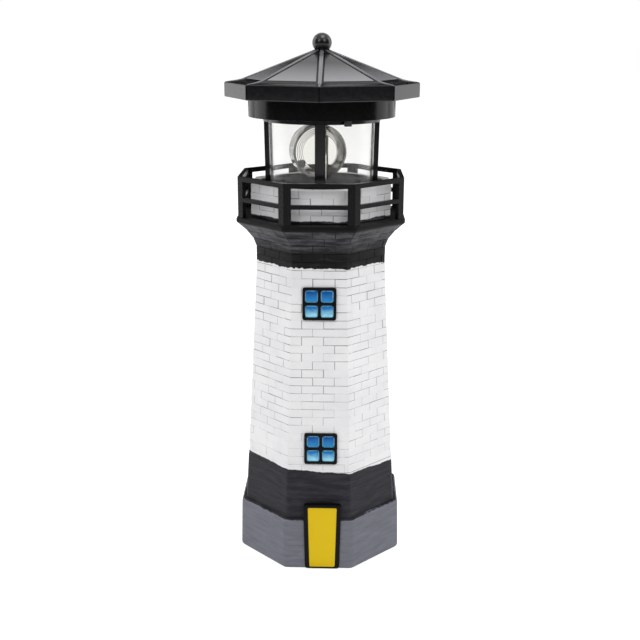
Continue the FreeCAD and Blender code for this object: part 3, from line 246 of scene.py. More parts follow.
def feed(node, inputs):
    """Link wires to a node's inputs, by name or number, and set the others to plain values."""
    for key, value in inputs.items():
        if isinstance(value, Wire):
            value.tree.links.new(value.socket, node.inputs[key])
        else:
            node.inputs[key].default_value = value


def add_node(tree, kind, inputs=None, output=0, **settings):
    """Add a node, set its options and inputs, and give back one of its outputs."""
    node = tree.nodes.new(kind)
    for name, value in settings.items():
        setattr(node, name, value)
    feed(node, inputs or {})
    return Wire(node.outputs[output])


def calculate(operation, *terms):
    """A Math node; each term is a number or a wire."""
    tree = next(term.tree for term in terms if isinstance(term, Wire))
    return add_node(tree, "ShaderNodeMath", dict(enumerate(terms)), operation=operation)


def ramp(value, low, high, start=0.0, end=1.0):
    """Value mapped from low..high to start..end, held at both ends."""
    return add_node(value.tree, "ShaderNodeMapRange",
                    {"Value": value, "From Min": low, "From Max": high, "To Min": start, "To Max": end})


# %% Colours and noises
def paint(hex_colour):
    """A colour written as on a paint card, turned to the linear values that a shader needs."""
    channels = [int(hex_colour[i:i + 2], 16) / 255 for i in (0, 2, 4)]
    return tuple((c / 12.92) if c <= 0.04045 else ((c + 0.055) / 1.055) ** 2.4 for c in channels) + (1.0,)


def blend(share, first, second):
    """Mix two paints by a share from 0 to 1; the Mix node's colour sockets are its seventh and eighth."""
    first, second = (colour if isinstance(colour, Wire) else paint(colour) for colour in (first, second))
    return add_node(share.tree, "ShaderNodeMix", {0: share, 6: first, 7: second}, output=2, data_type="RGBA")


def part_of(vector, axis):
    """One coordinate of a vector."""
    return add_node(vector.tree, "ShaderNodeSeparateXYZ", {0: vector}, output=axis)


def place_in(tree):
    """Coordinates of the object, in metres."""
    return add_node(tree, "ShaderNodeTexCoord", output="Object")


def noise(tree, scale, detail=3.0, roughness=0.5, stretch=(1, 1, 1)):
    """Noise on object coordinates; scale counts its waves per metre, stretch squeezes it along an axis."""
    mapped = add_node(tree, "ShaderNodeMapping", {"Vector": place_in(tree), "Scale": stretch})
    return add_node(tree, "ShaderNodeTexNoise",
                    {"Vector": mapped, "Scale": scale, "Detail": detail, "Roughness": roughness}, output="Fac")


# %% Surfaces
def new_finish(name):
    """An empty finish: its tree and its shader."""
    material = bpy.data.materials.new(name)
    material.use_nodes = True
    return material, material.node_tree, material.node_tree.nodes["Principled BSDF"]


def add_bump(shader, height, strength, distance=0.00005):
    bump = add_node(height.tree, "ShaderNodeBump",
                    {"Height": height, "Strength": strength, "Distance": distance})
    feed(shader, {"Normal": bump})


def add_grain(shader, fine, smoothest, roughest, bump, distance=0.00005):
    """Uneven gloss and a fine relief, both from one noise."""
    feed(shader, {"Roughness": ramp(fine, 0.3, 0.7, smoothest, roughest)})
    add_bump(shader, fine, bump, distance)


# %% Plain finishes: plastics and metals
def plain_finish(name, colour, second, roughness, grain=900, bump=0.15, metal=0.0, shine=0.5):
    """Moulded or rolled stuff: two close colours, uneven gloss and a fine grain."""
    material, tree, shader = new_finish(name)
    cloud = noise(tree, 60, 4)
    feed(shader, {"Base Color": blend(cloud, colour, second), "Metallic": metal, "Specular IOR Level": shine})
    add_grain(shader, noise(tree, grain, 3), roughness * 0.8, roughness * 1.2, bump)
    return material


black_plastic = plain_finish("black plastic", "09090a", "0f0f11", 0.22, grain=700, bump=0.2, shine=0.3)
drum_plastic = plain_finish("drum plastic", "0a0a0b", "101012", 0.18, grain=500, bump=0.15, shine=0.12)
ball_plastic = plain_finish("ball plastic", "08080a", "0e0e10", 0.27, grain=500, bump=0.1, shine=0.5)
deck_plastic = plain_finish("deck plastic", "09090b", "101012", 0.5, grain=700, bump=0.2, shine=0.012)
# The hip beads are black plastic; this grey is a painted highlight, for the bright lines that the round beads
# catch.
hip_highlight_plastic = plain_finish("hip highlight plastic", "5a5a5e", "77777b", 0.2, grain=500, bump=0.15, shine=0.6)
rail_plastic = plain_finish("railing plastic", "0c0c0e", "141416", 0.3, grain=900, bump=0.4, shine=0.1)
dark_plastic = plain_finish("dark plastic", "1c1c1f", "28282b", 0.4)
white_plastic = plain_finish("white plastic", "e4e2dc", "eceae4", 0.4)
steel = plain_finish("steel", "b9babd", "cbccce", 0.3, metal=1.0)
brass = plain_finish("brass", "c9a24a", "d6b260", 0.3, metal=1.0)
rubber = plain_finish("rubber", "1d1d1d", "262626", 0.75, grain=1500, bump=0.4)
red_wire = plain_finish("wire insulation", "9c1f1a", "b02a22", 0.4)
laminate = plain_finish("board laminate", "1f5a32", "276a3c", 0.45)
sleeve = plain_finish("battery sleeve", "2f7d3c", "3a8a48", 0.35)
component = plain_finish("component plastic", "202022", "2c2c30", 0.5)
print("plain finishes:", len(bpy.data.materials))

# %% [markdown]
# ## Clear pieces
# The glazing tube and the lens hoop are clear plastic. A transmission shader bends light as the real piece
# does, and a very faint waviness in the surface breaks up the reflections. The hoop of the real piece is less
# clear than the tube, so it also holds darker clouds.

# %% Clear plastic
def clear_finish(name, colour, index, roughness, bump, grain, haze=0.0, stain=None):
    """Clear plastic; haze is the share of light that it scatters instead of letting it through, and stain is
    the colour of the darker clouds in it."""
    material, tree, shader = new_finish(name)
    base = blend(ramp(noise(tree, 130, 3), 0.42, 0.6), colour, stain) if stain else paint(colour)
    feed(shader, {"Base Color": base, "Transmission Weight": 1.0 - haze, "IOR": index})
    add_grain(shader, noise(tree, grain, 2), roughness * 0.6, roughness * 1.4, bump)
    return material


glazing_finish = clear_finish("glazing plastic", "f9f9f8", 1.12, 0.015, 0.05, 40, haze=0.035)
hoop_finish = clear_finish("hoop plastic", "c4c3c0", 1.45, 0.05, 0.8, 260, haze=0.15, stain="565553")
lens_finish = clear_finish("lens plastic", "f1f0ea", 1.2, 0.02, 0.1, 300)
lamp_finish = clear_finish("lamp epoxy", "eeeeea", 1.5, 0.05, 0.1, 300, haze=0.1)

# %% [markdown]
# ## Painted casting
# One tree paints the whole casting by height, as the real one is brushed: blue-grey plinth, charcoal band,
# white shaft, black neck and corbel, white parapet. Each edge wanders a little, because a brush made it. Brush
# strokes and grime vary each colour. The corbel is lighter from a little above its foot up, a painted
# highlight. The joints between bricks are darker: grey dirt and painted shade in the white, painted shade in
# the black. The bore is left as raw cast stone. Two marks on the mesh, joint and raw, tell the tree where those
# places are.

# %% The painted casting
PLINTH_PAINT_TOP = 27.2
WHITE_BOTTOM = 52.9
NECK_PAINT_BOTTOM = 158.3
# Height from which the corbel's painted highlight starts.
CORBEL_HIGHLIGHT_BOTTOM = 168.2
PARAPET_PAINT_BOTTOM = 182.4


def painted_casting():
    material, tree, shader = new_finish("painted casting")
    across, height = part_of(place_in(tree), "X"), part_of(place_in(tree), "Z")
    wander = noise(tree, 90, 3) - 0.5
    ragged = noise(tree, 420, 4, 0.6) - 0.5
    strokes = noise(tree, 260, 5, 0.6, stretch=(0.35, 0.35, 2.2))
    grime = noise(tree, 70, 5, 0.6)
    speck = noise(tree, 1300, 2)
    joint, raw = (add_node(tree, "ShaderNodeAttribute", output="Fac", attribute_name=mark)
                  for mark in ("joint", "raw"))

    def above(level, wave, rag, lean=0.0, soft=0.12):
        """1 above a brushed edge at that height, 0 below it; the edge may lean from left to right."""
        edge = wander * (wave * MM) + level * MM + ragged * (rag * MM) + across * lean
        return ramp(height - edge, -soft * MM, soft * MM)

    plinth = blend(ramp(strokes, 0.3, 0.8), "64656d", "7a7c86")
    band = blend(ramp(strokes, 0.4, 0.75), "222227", "3a383d")
    band = blend(ramp(speck, 0.74, 0.8), band, "6e6562")
    white = blend(ramp(grime, 0.35, 0.75), "eaeaeb", "dfdfe1")
    # Grey in the joints: dirt, and painted shade in grooves too narrow to shade themselves.
    white = blend(joint * 0.9, white, "7c7b7d")
    black = blend(ramp(strokes, 0.48, 0.78), "100f11", "312c2d")
    # Painted highlight: the black is lighter on the corbel, from a little above its foot up.
    corbel_highlight = blend(ramp(strokes, 0.4, 0.7), "212124", "605f64")
    black = blend(above(CORBEL_HIGHLIGHT_BOTTOM, 4.0, 3.0, soft=2.6), black, corbel_highlight)
    # Painted shade: near black in the joints of the black paint.
    black = blend(joint, black, "060606")
    colour = blend(above(PLINTH_PAINT_TOP, 1.2, 0.9), plinth, band)
    colour = blend(above(WHITE_BOTTOM, 2.2, 0.9, lean=-0.055), colour, white)
    colour = blend(above(NECK_PAINT_BOTTOM, 2.6, 2.6), colour, black)
    colour = blend(above(PARAPET_PAINT_BOTTOM, 2.4, 1.2), colour, white)
    colour = blend(raw, colour, blend(grime, "d9d6cf", "bfbbb3"))
    feed(shader, {"Base Color": colour, "Roughness": ramp(strokes, 0.3, 0.7, 0.42, 0.62),
                  "Specular IOR Level": 0.12})
    add_bump(shader, strokes * 0.9 + speck, 0.4, 0.00014)
    return material


casting_finish = painted_casting()
print("heights where one paint meets the next:", PLINTH_PAINT_TOP, WHITE_BOTTOM, NECK_PAINT_BOTTOM)

# %% [markdown]
# ## The casting's wall
# The wall is drawn as rings: rounded octagons outside, circles inside, from the open foot up the outside,
# over the parapet and down into the bore. It lies a quarter of a millimetre behind the bricks' faces, so that
# what shows of it is the joints.

# %% Rings of the casting
JOINT_DEPTH = 0.24
CORNER_STEPS = 6
RING = 8 * CORNER_STEPS


def octagon_ring(half, height, corner, corner_first=False):
    """Rounded octagon with its flats at `half`; corner is the radius of its rounded corners."""
    centre = (half - corner) / math.cos(HALF_TURN)
    start = 0 if corner_first else HALF_TURN
    ring = []
    for k in range(8):
        middle = start + math.tau * k / 8
        for step in range(CORNER_STEPS):
            angle = middle + HALF_TURN * (2 * step / (CORNER_STEPS - 1) - 1)
            ring.append((centre * math.cos(middle) + corner * math.cos(angle),
                         centre * math.sin(middle) + corner * math.sin(angle), height))
    return ring


def circle_ring(radius, height):
    first = HALF_TURN / CORNER_STEPS
    turns = [first + math.tau * i / RING for i in range(RING)]
    return [(radius * math.cos(turn), radius * math.sin(turn), height) for turn in turns]


# %% Shape the wall
PLINTH_CORNER = 3.6
SHAFT_CORNER = 2.6
RECESS = 31.7
RECESS_FLOOR = 194.2
BORE = 27.0
BORE_BOTTOM = 160.0
CAVITY = 34.5
plinth = [octagon_ring(FOOT_HALF - inset, height, PLINTH_CORNER - less) for inset, height, less in (
    (1.5, 0.0, 1), (0.7, 0.25, 0.5), (0.15, 0.9, 0), (0, 1.8, 0), (0.55, PLINTH_TOP - 1.6, 0),
    (0.8, PLINTH_TOP - 0.7, 0), (1.6, PLINTH_TOP - 0.1, 0.5))]
heights = [BAND_TOP + (NECK_BOTTOM - BAND_TOP) * i / 12 for i in range(13)]
heights += [CORBEL_BOTTOM + (LIP_BOTTOM - CORBEL_BOTTOM) * i / 10 for i in range(10)]
outside = [(SHAFT_HALF, PLINTH_TOP), (wall_half(BAND_TOP - 0.3), BAND_TOP - 0.3)]
outside += [(wall_half(h) - JOINT_DEPTH, h) for h in heights]
outside += [(LIP_HALF - 0.25, LIP_BOTTOM - 0.3), (LIP_HALF, LIP_BOTTOM + 0.3),
            (LIP_HALF, GALLERY_FLOOR - 0.6), (LIP_HALF - 0.2, GALLERY_FLOOR - 0.2),
            (LIP_HALF - 0.7, GALLERY_FLOOR), (PARAPET_HALF - JOINT_DEPTH, GALLERY_FLOOR),
            (PARAPET_HALF - JOINT_DEPTH, PARAPET_TOP - 0.5), (PARAPET_HALF - 0.7, PARAPET_TOP)]
inside = [(RECESS + 0.3, PARAPET_TOP), (RECESS, PARAPET_TOP - 0.3), (RECESS, RECESS_FLOOR),
          (BORE, RECESS_FLOOR), (BORE, BORE_BOTTOM), (CAVITY, 1.2), (CAVITY, 0.0)]
rings = plinth + [octagon_ring(half, height, SHAFT_CORNER) for half, height in outside]
rings += [circle_ring(radius, height) for radius, height in inside]
wall = skin("casting_wall", rings, casting_finish, crisp=50)

# %% Mark the joints and the raw stone
for mark in ("joint", "raw"):
    wall.attributes.new(mark, "FLOAT", "POINT")
for point, joint, raw in zip(wall.vertices, wall.attributes["joint"].data, wall.attributes["raw"].data):
    reach, height = math.hypot(point.co.x, point.co.y) / MM, point.co.z / MM
    hidden = reach < (CAVITY if height < 2 else RECESS) + 0.5
    raw.value = 1.0 if hidden else 0.0
    joint.value = 1.0 if BAND_TOP - 0.1 < height < PARAPET_TOP - 0.2 and not hidden else 0.0
add_piece(wall, "casting_wall", "tower", "painted_casting", "tower_shell")

# %% [markdown]
# ## Brick courses
# The shaft's bricks are pressed into the mould, a bit uneven and in running bond. Geometry Nodes lay them:
# one point for each brick on a flat strip of eight walls, trimmed at the wall's ends, then the whole strip is
# bent onto the octagon, following its profile. Each brick is one small block with soft edges, so hundreds of
# them stay light.

# %% One brick
BRICK_LENGTH = 11.0
BRICK_COURSE = 4.2
BRICK_EDGE = 0.16
BRICK_DEPTH = 0.77


def plate_faces(points, wide, depth):
    """Close a grid of points, laid row by row from its lower left, to a plate: adds the points of its back
    and returns its faces and the border that the back repeats."""
    high = len(points) // wide
    faces = [(at, at + 1, at + wide + 1, at + wide) for at in range(wide * (high - 1)) if (at + 1) % wide]
    border = list(range(wide)) + [r * wide + wide - 1 for r in range(1, high)]
    border += [wide * (high - 1) + c for c in range(wide - 2, -1, -1)]
    border += [r * wide for r in range(high - 2, 0, -1)]
    base, count = len(points), len(border)
    points += [Vector(points[i]) + Vector(depth) for i in border]
    faces += [(border[(i + 1) % count], border[i], base + i, base + (i + 1) % count) for i in range(count)]
    faces.append(tuple(base + i for i in reversed(range(count))))
    return faces, border


def brick_block():
    """A slab in millimetres: its face at y = 0, with soft edges."""
    columns = [-BRICK_LENGTH / 2 + d for d in (0, BRICK_EDGE, 1.3)]
    columns += [-c for c in reversed(columns)]
    rows = [-BRICK_COURSE / 2, -BRICK_COURSE / 2 + BRICK_EDGE]
    rows += [-r for r in reversed(rows)]
    points = []
    for z in rows:
        for x in columns:
            rim = x in (columns[0], columns[-1]) or z in (rows[0], rows[-1])
            points.append((x, BRICK_EDGE * 0.8 if rim else 0.0, z))
    faces = plate_faces(points, len(columns), (0, BRICK_DEPTH, 0))[0]
    mesh = bpy.data.meshes.new("brick")
    mesh.from_pydata(points, [], faces)
    mesh.shade_smooth()
    return mesh


print("faces in one brick:", len(brick_block().polygons))

# %% Helpers for geometry trees
def geometry_tree(name, **kinds):
    """A node group with geometry in and out and inputs of the given kinds; returns it and its input wires."""
    tree = bpy.data.node_groups.new(name, "GeometryNodeTree")
    for label, kind in {"Geometry": "Geometry", **kinds}.items():
        tree.interface.new_socket(label, in_out="INPUT", socket_type=f"NodeSocket{kind}")
    tree.interface.new_socket("Geometry", in_out="OUTPUT", socket_type="NodeSocketGeometry")
    given = tree.nodes.new("NodeGroupInput").outputs
    return tree, {label: Wire(given[label]) for label in ("Geometry", *kinds)}


def finish_tree(tree, geometry, material):
    """Close a tree: its geometry gets its finish and goes out."""
    dressed = add_node(tree, "GeometryNodeSetMaterial", {"Geometry": geometry, "Material": material})
    feed(tree.nodes.new("NodeGroupOutput"), {0: dressed})
    return tree


def grown(name, source_mesh, tree, crisp, **values):
    """Run a tree on a mesh and return the result as a plain mesh."""
    holder = add_object(name, source_mesh)
    modifier = holder.modifiers.new(name, "NODES")
    modifier.node_group = tree
    for item in tree.interface.items_tree:
        if item.in_out == "INPUT" and item.name in values:
            modifier[item.identifier] = values[item.name]
    mesh = as_mesh(holder)
    mesh.name = name
    smooth(mesh, crisp)
    return mesh


# %% The wall's profile in a tree
CURVE_HEIGHT = 200
CURVE_WIDTH = 50


def vector(tree, x=0.0, y=0.0, z=0.0):
    return add_node(tree, "ShaderNodeCombineXYZ", {0: x, 1: y, 2: z})


def half_at(height):
    """Half width of the wall, from a curve of the profile whose square stands for 200 by 50 mm."""
    node = height.tree.nodes.new("ShaderNodeFloatCurve")
    feed(node, {"Value": height / CURVE_HEIGHT})
    corbel = [CORBEL_BOTTOM + (LIP_BOTTOM - CORBEL_BOTTOM) * i / 8 for i in range(9)]
    knots = [(h, wall_half(h)) for h in [PLINTH_TOP, NECK_BOTTOM] + corbel]
    knots += [(GALLERY_FLOOR - 0.9, LIP_HALF), (GALLERY_FLOOR - 0.7, PARAPET_HALF), (PARAPET_TOP, PARAPET_HALF)]
    curve = node.mapping.curves[0]
    curve.points[0].location = (0.0, SHAFT_HALF / CURVE_WIDTH)
    curve.points[1].location = (1.0, PARAPET_HALF / CURVE_WIDTH)
    for h, half in knots:
        curve.points.new(h / CURVE_HEIGHT, half / CURVE_WIDTH)
    for knot in curve.points:
        knot.handle_type = "VECTOR"
    node.mapping.update()
    return Wire(node.outputs[0]) * CURVE_WIDTH


# %% Bend the flat strip of walls onto the octagon
def bent_round(walls):
    """Bend the ends of each wall round the corners, then turn it to its side of the octagon."""
    tree = walls.tree
    along, depth, up = (part_of(add_node(tree, "GeometryNodeInputPosition"), axis) for axis in "XYZ")
    half = half_at(up)
    bend = SHAFT_CORNER * math.tan(HALF_TURN)
    straight = half * math.tan(HALF_TURN) - bend
    distance = calculate("ABSOLUTE", along)
    angle = calculate("MINIMUM", calculate("MAXIMUM", distance - straight, 0.0) / bend, 1.0) * HALF_TURN
    radius = SHAFT_CORNER - depth
    out = calculate("MINIMUM", distance, straight) + radius * calculate("SINE", angle)
    out_depth = depth + radius * (1 - calculate("COSINE", angle))
    bent = vector(tree, out * calculate("SIGN", along), out_depth - half, up)
    side = add_node(tree, "GeometryNodeInputNamedAttribute", {0: "side"}, output="Attribute", data_type="FLOAT")
    turned_to = add_node(tree, "ShaderNodeVectorRotate", {"Vector": bent, "Angle": side * (math.tau / 8)},
                         rotation_type="Z_AXIS")
    metres = add_node(tree, "ShaderNodeVectorMath", {0: turned_to, 3: MM}, operation="SCALE")
    return add_node(tree, "GeometryNodeSetPosition", {"Geometry": walls, "Position": metres})


# %% The tree that lays the courses
# A course of one wall has up to five bricks. An end that would leave a sliver at the corner runs a bit past
# it instead. Paint has filled the joints near the foot: they are narrow there and clear further up.
COLUMNS = 5
SLIVER = 2.3
PAST_CORNER = 0.6
NARROW_BELOW = 62.0
CLEAR_ABOVE = 118.0


def brick_tree():
    tree, given = geometry_tree("brick courses", base="Float", courses="Int", course="Float",
                                length="Float", joint="Float", unevenness="Float", shift="Float",
                                seed="Int", material="Material")

    def random(low, high, seed):
        """A number of its own for each brick."""
        span = {2: low, 3: high, "ID": index, "Seed": given["seed"] + seed}
        return add_node(tree, "FunctionNodeRandomValue", span, output=1, data_type="FLOAT")

    # Number the bricks: wall by wall, course by course, column by column.
    each = given["courses"] * COLUMNS
    index = add_node(tree, "GeometryNodeInputIndex")
    side = calculate("FLOOR", index / each)
    rest = index - side * each
    course = calculate("FLOOR", rest / COLUMNS)
    column = rest - course * COLUMNS
    bond = calculate("FRACT", course * 0.5 + side * 0.31 + given["shift"])
    middle = (column - COLUMNS / 2 + bond) * given["length"]
    start, end = middle - given["length"] * 0.5, middle + given["length"] * 0.5
    level = (course + 0.5) * given["course"] + given["base"]

    # Trim them at the wall's ends.
    reach = half_at(level) * math.tan(HALF_TURN)
    right_limit, left_limit, past = reach - SLIVER, (reach - SLIVER) * -1, reach + PAST_CORNER

    def trimmed(value):
        """An end that comes near the corner runs past it."""
        over = calculate("GREATER_THAN", value, right_limit)
        under = calculate("LESS_THAN", value, left_limit)
        value = value + over * (past - value)
        return value - under * (past + value)

    new_start, new_end = trimmed(start), trimmed(end)
    lost = calculate("MAXIMUM", calculate("GREATER_THAN", start, right_limit),
                     calculate("LESS_THAN", end, left_limit))

    # Lay them on the flat strip, each a bit off its place and size.
    joint = given["joint"] * ramp(level, NARROW_BELOW, CLEAR_ABOVE, 0.35, 1.0)
    wide = (new_end - new_start - joint * random(-0.3, 1.5, 1)) / BRICK_LENGTH
    tall = (given["course"] - joint * random(-0.25, 1.3, 2)) / BRICK_COURSE
    lift = given["unevenness"] * random(0.0, 1.0, 3)
    sway = given["unevenness"] * random(-1.0, 1.0, 4)
    points = add_node(tree, "GeometryNodePoints", {"Count": each * 8})
    where = vector(tree, (new_start + new_end) * 0.5, lift, level + sway)
    laid = add_node(tree, "GeometryNodeSetPosition", {"Geometry": points, "Position": where})
    marked = add_node(tree, "GeometryNodeStoreNamedAttribute",
                      {"Geometry": laid, "Name": "side", "Value": side}, data_type="FLOAT", domain="POINT")
    turn = add_node(tree, "FunctionNodeEulerToRotation", {0: vector(tree, y=random(-0.012, 0.012, 5))})
    spread = add_node(tree, "GeometryNodeInstanceOnPoints",
                      {"Points": marked, "Selection": 1 - lost, "Instance": given["Geometry"],
                       "Rotation": turn, "Scale": vector(tree, wide, 1.0, tall)})
    real = add_node(tree, "GeometryNodeRealizeInstances", {0: spread})
    return finish_tree(tree, bent_round(real), given["material"])


course_tree = brick_tree()
print("nodes that lay the bricks:", len(course_tree.nodes))

# %% Lay the bricks
JOINT = 0.34


def lay_bricks(name, base, top, courses, **character):
    """Brick courses between two heights, as one mesh."""
    mesh = grown(name, brick_block(), course_tree, 24, base=base, courses=courses,
                 course=(top - base) / courses, length=BRICK_LENGTH, joint=JOINT, material=casting_finish,
                 **character)
    add_piece(mesh, name, "tower", "painted_casting")


lay_bricks("shaft_bricks", BAND_TOP, LIP_BOTTOM - 0.4, 30, unevenness=0.07, shift=0.2, seed=3)
lay_bricks("parapet_bricks", GALLERY_FLOOR + 0.1, PARAPET_TOP - 0.1, 4, unevenness=0.05, shift=0.6, seed=11)

# %% [markdown]
# ## Windows and door
# Each window is a raised black frame, cast with the wall and painted by hand, round four small panes. The
# panes bulge like pillows, dark blue at the top, paler towards the foot and with light rims. A flat curve with
# holes and a rounded bevel makes the frame; a small crowned grid makes a pane. The door is the same idea in
# yellow.

# %% Frames from flat outlines
def box_corners(left, bottom, right, top, taper=0.0):
    """Corners of a box that may be narrower at its foot."""
    return [(left + taper, bottom), (right - taper, bottom), (right, top), (left, top)]


def rounded_outline(corners, radius, steps=5):
    """A polygon with its corners rounded."""
    outline = []
    for i, corner in enumerate(corners):
        here = Vector(corner)
        back = Vector(corners[i - 1]) - here
        onward = Vector(corners[(i + 1) % len(corners)]) - here
        cut = radius / math.tan(back.angle(onward) / 2)
        first = here + back.normalized() * cut
        last = here + onward.normalized() * cut
        for step in range(steps):
            t = step / (steps - 1)
            outline.append(first * (1 - t) ** 2 + here * 2 * t * (1 - t) + last * t ** 2)
    return outline


def plate_with_holes(name, outer, holes, depth, edge, material, place):
    """A plate of that depth between rounded outlines, standing in XZ with its face towards -Y."""
    curve = bpy.data.curves.new(name, "CURVE")
    curve.dimensions = "2D"
    curve.fill_mode = "BOTH"
    curve.extrude = depth / 2 - edge
    curve.bevel_depth = edge
    curve.bevel_resolution = 2
    curve.offset = -edge
    for outline in [outer] + holes:
        line = curve.splines.new("POLY")
        line.points.add(len(outline) - 1)
        line.use_cyclic_u = True
        for point, target in zip(line.points, outline):
            point.co = (target[0], target[1], 0, 1)
    mesh = as_mesh(add_object(name, curve))
    stand = Matrix(((1, 0, 0), (0, 0, -1), (0, 1, 0))).to_4x4()
    mesh.transform(Matrix.Scale(MM, 4) @ place @ stand)
    return finish_mesh(mesh, material, 40)


# %% Paints of the relief
def relief_paint(name, colour, second, roughness=0.35):
    return plain_finish(name, colour, second, roughness, grain=420, bump=0.5, shine=0.08)


frame_paint = relief_paint("frame paint", "060608", "0e0e10")
door_paint = relief_paint("door paint", "d6b312", "e1c122", 0.4)


def pane_finish(name, foot, head):
    """Hand-painted glass, from one colour at its foot to another at its head, with light rims."""
    material, tree, shader = new_finish(name)
    spot = add_node(tree, "ShaderNodeUVMap", uv_map="pane")
    blotch = noise(tree, 600, 3) - 0.5
    body = blend(ramp(blotch * 0.5 + part_of(spot, "Y"), 0.1, 0.75), foot, head)
    side, tall = (calculate("ABSOLUTE", part_of(spot, axis) - 0.5) for axis in "XY")
    edge = blotch * 0.12 + calculate("MAXIMUM", side, tall)
    colour = blend(ramp(edge, 0.38, 0.46), body, "86cdee")
    feed(shader, {"Base Color": colour, "Roughness": ramp(blotch, -0.3, 0.3, 0.22, 0.4),
                  "Specular IOR Level": 0.25})
    add_bump(shader, blotch, 0.4, 0.0001)
    return material


upper_pane = pane_finish("upper pane paint", "1a86c4", "04529c")
lower_pane = pane_finish("lower pane paint", "9fe2f4", "1470b4")

# %% A crowned pane
PANE_DEPTH = 0.6


def crowned_pane(name, left, right, bottom, top, crown, material, place, steps=10, squareness=6):
    """A plate that bulges towards -Y; its UV map runs from 0 to 1 across it."""
    spots = [(c / steps, r / steps) for r in range(steps + 1) for c in range(steps + 1)]
    points = []
    for u, v in spots:
        bulge = crown * (1 - abs(2 * u - 1) ** squareness) * (1 - abs(2 * v - 1) ** squareness)
        points.append(place @ Vector((left + (right - left) * u, -bulge, bottom + (top - bottom) * v)))
    faces, border = plate_faces(points, steps + 1, place.to_3x3() @ Vector((0, PANE_DEPTH, 0)))
    spots += [spots[i] for i in border]
    mesh = bpy.data.meshes.new(name)
    mesh.from_pydata([p * MM for p in points], [], faces)
    layer = mesh.uv_layers.new(name="pane")
    for loop in mesh.loops:
        layer.data[loop.index].uv = spots[loop.vertex_index]
    smooth(mesh, 45)
    wear(mesh, material)
    add_piece(mesh, name, "tower", "painted_casting")


# %% Make the windows
WINDOW_WIDTH = 16.8
WINDOW_HEIGHT = 16.4
WINDOW_BAR = 1.3
WINDOW_RELIEF = 1.4
UPPER_WINDOW = 132.7
LOWER_WINDOW = 57.5
PANE_LAP = 0.1
PANE_FRONT = 0.45
PANE_CROWN = 0.75
front_slope = math.atan((SHAFT_HALF - NECK_HALF) / (NECK_BOTTOM - PLINTH_TOP))


def window(name, bottom, to_right):
    place = Matrix.Translation((to_right, -wall_half(bottom), bottom)) @ Matrix.Rotation(-front_slope, 4, "X")
    pane_place = place @ Matrix.Translation((0, -PANE_FRONT, 0))
    half = WINDOW_WIDTH / 2
    wide = (WINDOW_WIDTH - 3 * WINDOW_BAR) / 2
    tall = (WINDOW_HEIGHT - 3 * WINDOW_BAR) / 2
    holes = []
    for left in (-WINDOW_BAR / 2 - wide, WINDOW_BAR / 2):
        for low, pane_paint in ((WINDOW_BAR, lower_pane), (2 * WINDOW_BAR + tall, upper_pane)):
            holes.append(rounded_outline(box_corners(left, low, left + wide, low + tall), 1.5))
            crowned_pane(f"{name}_pane_{len(holes)}", left - PANE_LAP, left + wide + PANE_LAP, low - PANE_LAP,
                         low + tall + PANE_LAP, PANE_CROWN, pane_paint, pane_place)
    outer = rounded_outline(box_corners(-half, 0, half, WINDOW_HEIGHT), 1.3)
    bars = plate_with_holes(f"{name}_frame", outer, holes, 2 * WINDOW_RELIEF, 0.35, frame_paint, place)
    add_piece(bars, f"{name}_frame", "tower", "painted_casting")


window("upper_window", UPPER_WINDOW, 0.0)
window("lower_window", LOWER_WINDOW, 1.0)

# %% Make the door
DOOR_WIDTH = 19.3
DOOR_BOTTOM = 0.4
DOOR_TOP = 36.4
DOOR_FRONT = 43.1
DOOR_BAR = 2.2
DOOR_RIGHT = 2.0
DOOR_DEPTH = 3.2
PANEL_SINK = 0.45
half, hole = DOOR_WIDTH / 2, DOOR_WIDTH / 2 - DOOR_BAR
door_outer = rounded_outline(box_corners(-half, DOOR_BOTTOM, half, DOOR_TOP, 0.7), 1.6)
door_hole = rounded_outline(box_corners(-hole, DOOR_BOTTOM + 0.9, hole, DOOR_TOP - DOOR_BAR * 0.7, 0.9), 0.8)
door_frame = plate_with_holes("door_frame", door_outer, [door_hole], DOOR_DEPTH, 0.4, frame_paint,
                              Matrix.Translation((DOOR_RIGHT, DOOR_DEPTH / 2 - DOOR_FRONT, 0)))
add_piece(door_frame, "door_frame", "tower", "painted_casting")
crowned_pane("door_panel", -hole - 0.3, hole + 0.3, DOOR_BOTTOM + 0.4, DOOR_TOP - 0.9, 0.2, door_paint,
             Matrix.Translation((DOOR_RIGHT, PANEL_SINK - DOOR_FRONT, 0)), 16, 14)

# %% [markdown]
# ## Moulded pieces of the head and the gallery
# These are injection mouldings whose main shape is already right in the frame. A copy of each gets rounded
# edges, which catch the light as thin bright lines, and its own plastic.

# %% Soften the mouldings
softened("gallery_railing", "tower", "black_plastic", rail_plastic, 0.45, 3)
softened("deck_plate", "head", "black_plastic", deck_plastic, 0.3)
softened("lantern_frame", "head", "black_plastic", black_plastic, 0.35)
softened("battery_drum", "head", "black_plastic", drum_plastic, 0.45, 3)
softened("turntable", "lens", "dark_plastic", deck_plastic, 0.25)
softened("switch_slider", "switch", "dark_plastic", dark_plastic, 0.2)

# %% [markdown]
# ## Glazing, hoop and lens
# The glazing is a slightly tapered clear tube. The lens that throws the beam is a bull's-eye with prism rings,
# held in the front of a clear hoop; both stand on the turntable, facing a little to the right. Spinning an
# outline suits all three. A loop adds the saw teeth of the prism rings to the lens's outline, and its finish
# paints a grey line where one tooth meets the next: painted shade, for the dark edge that refraction shows
# there.

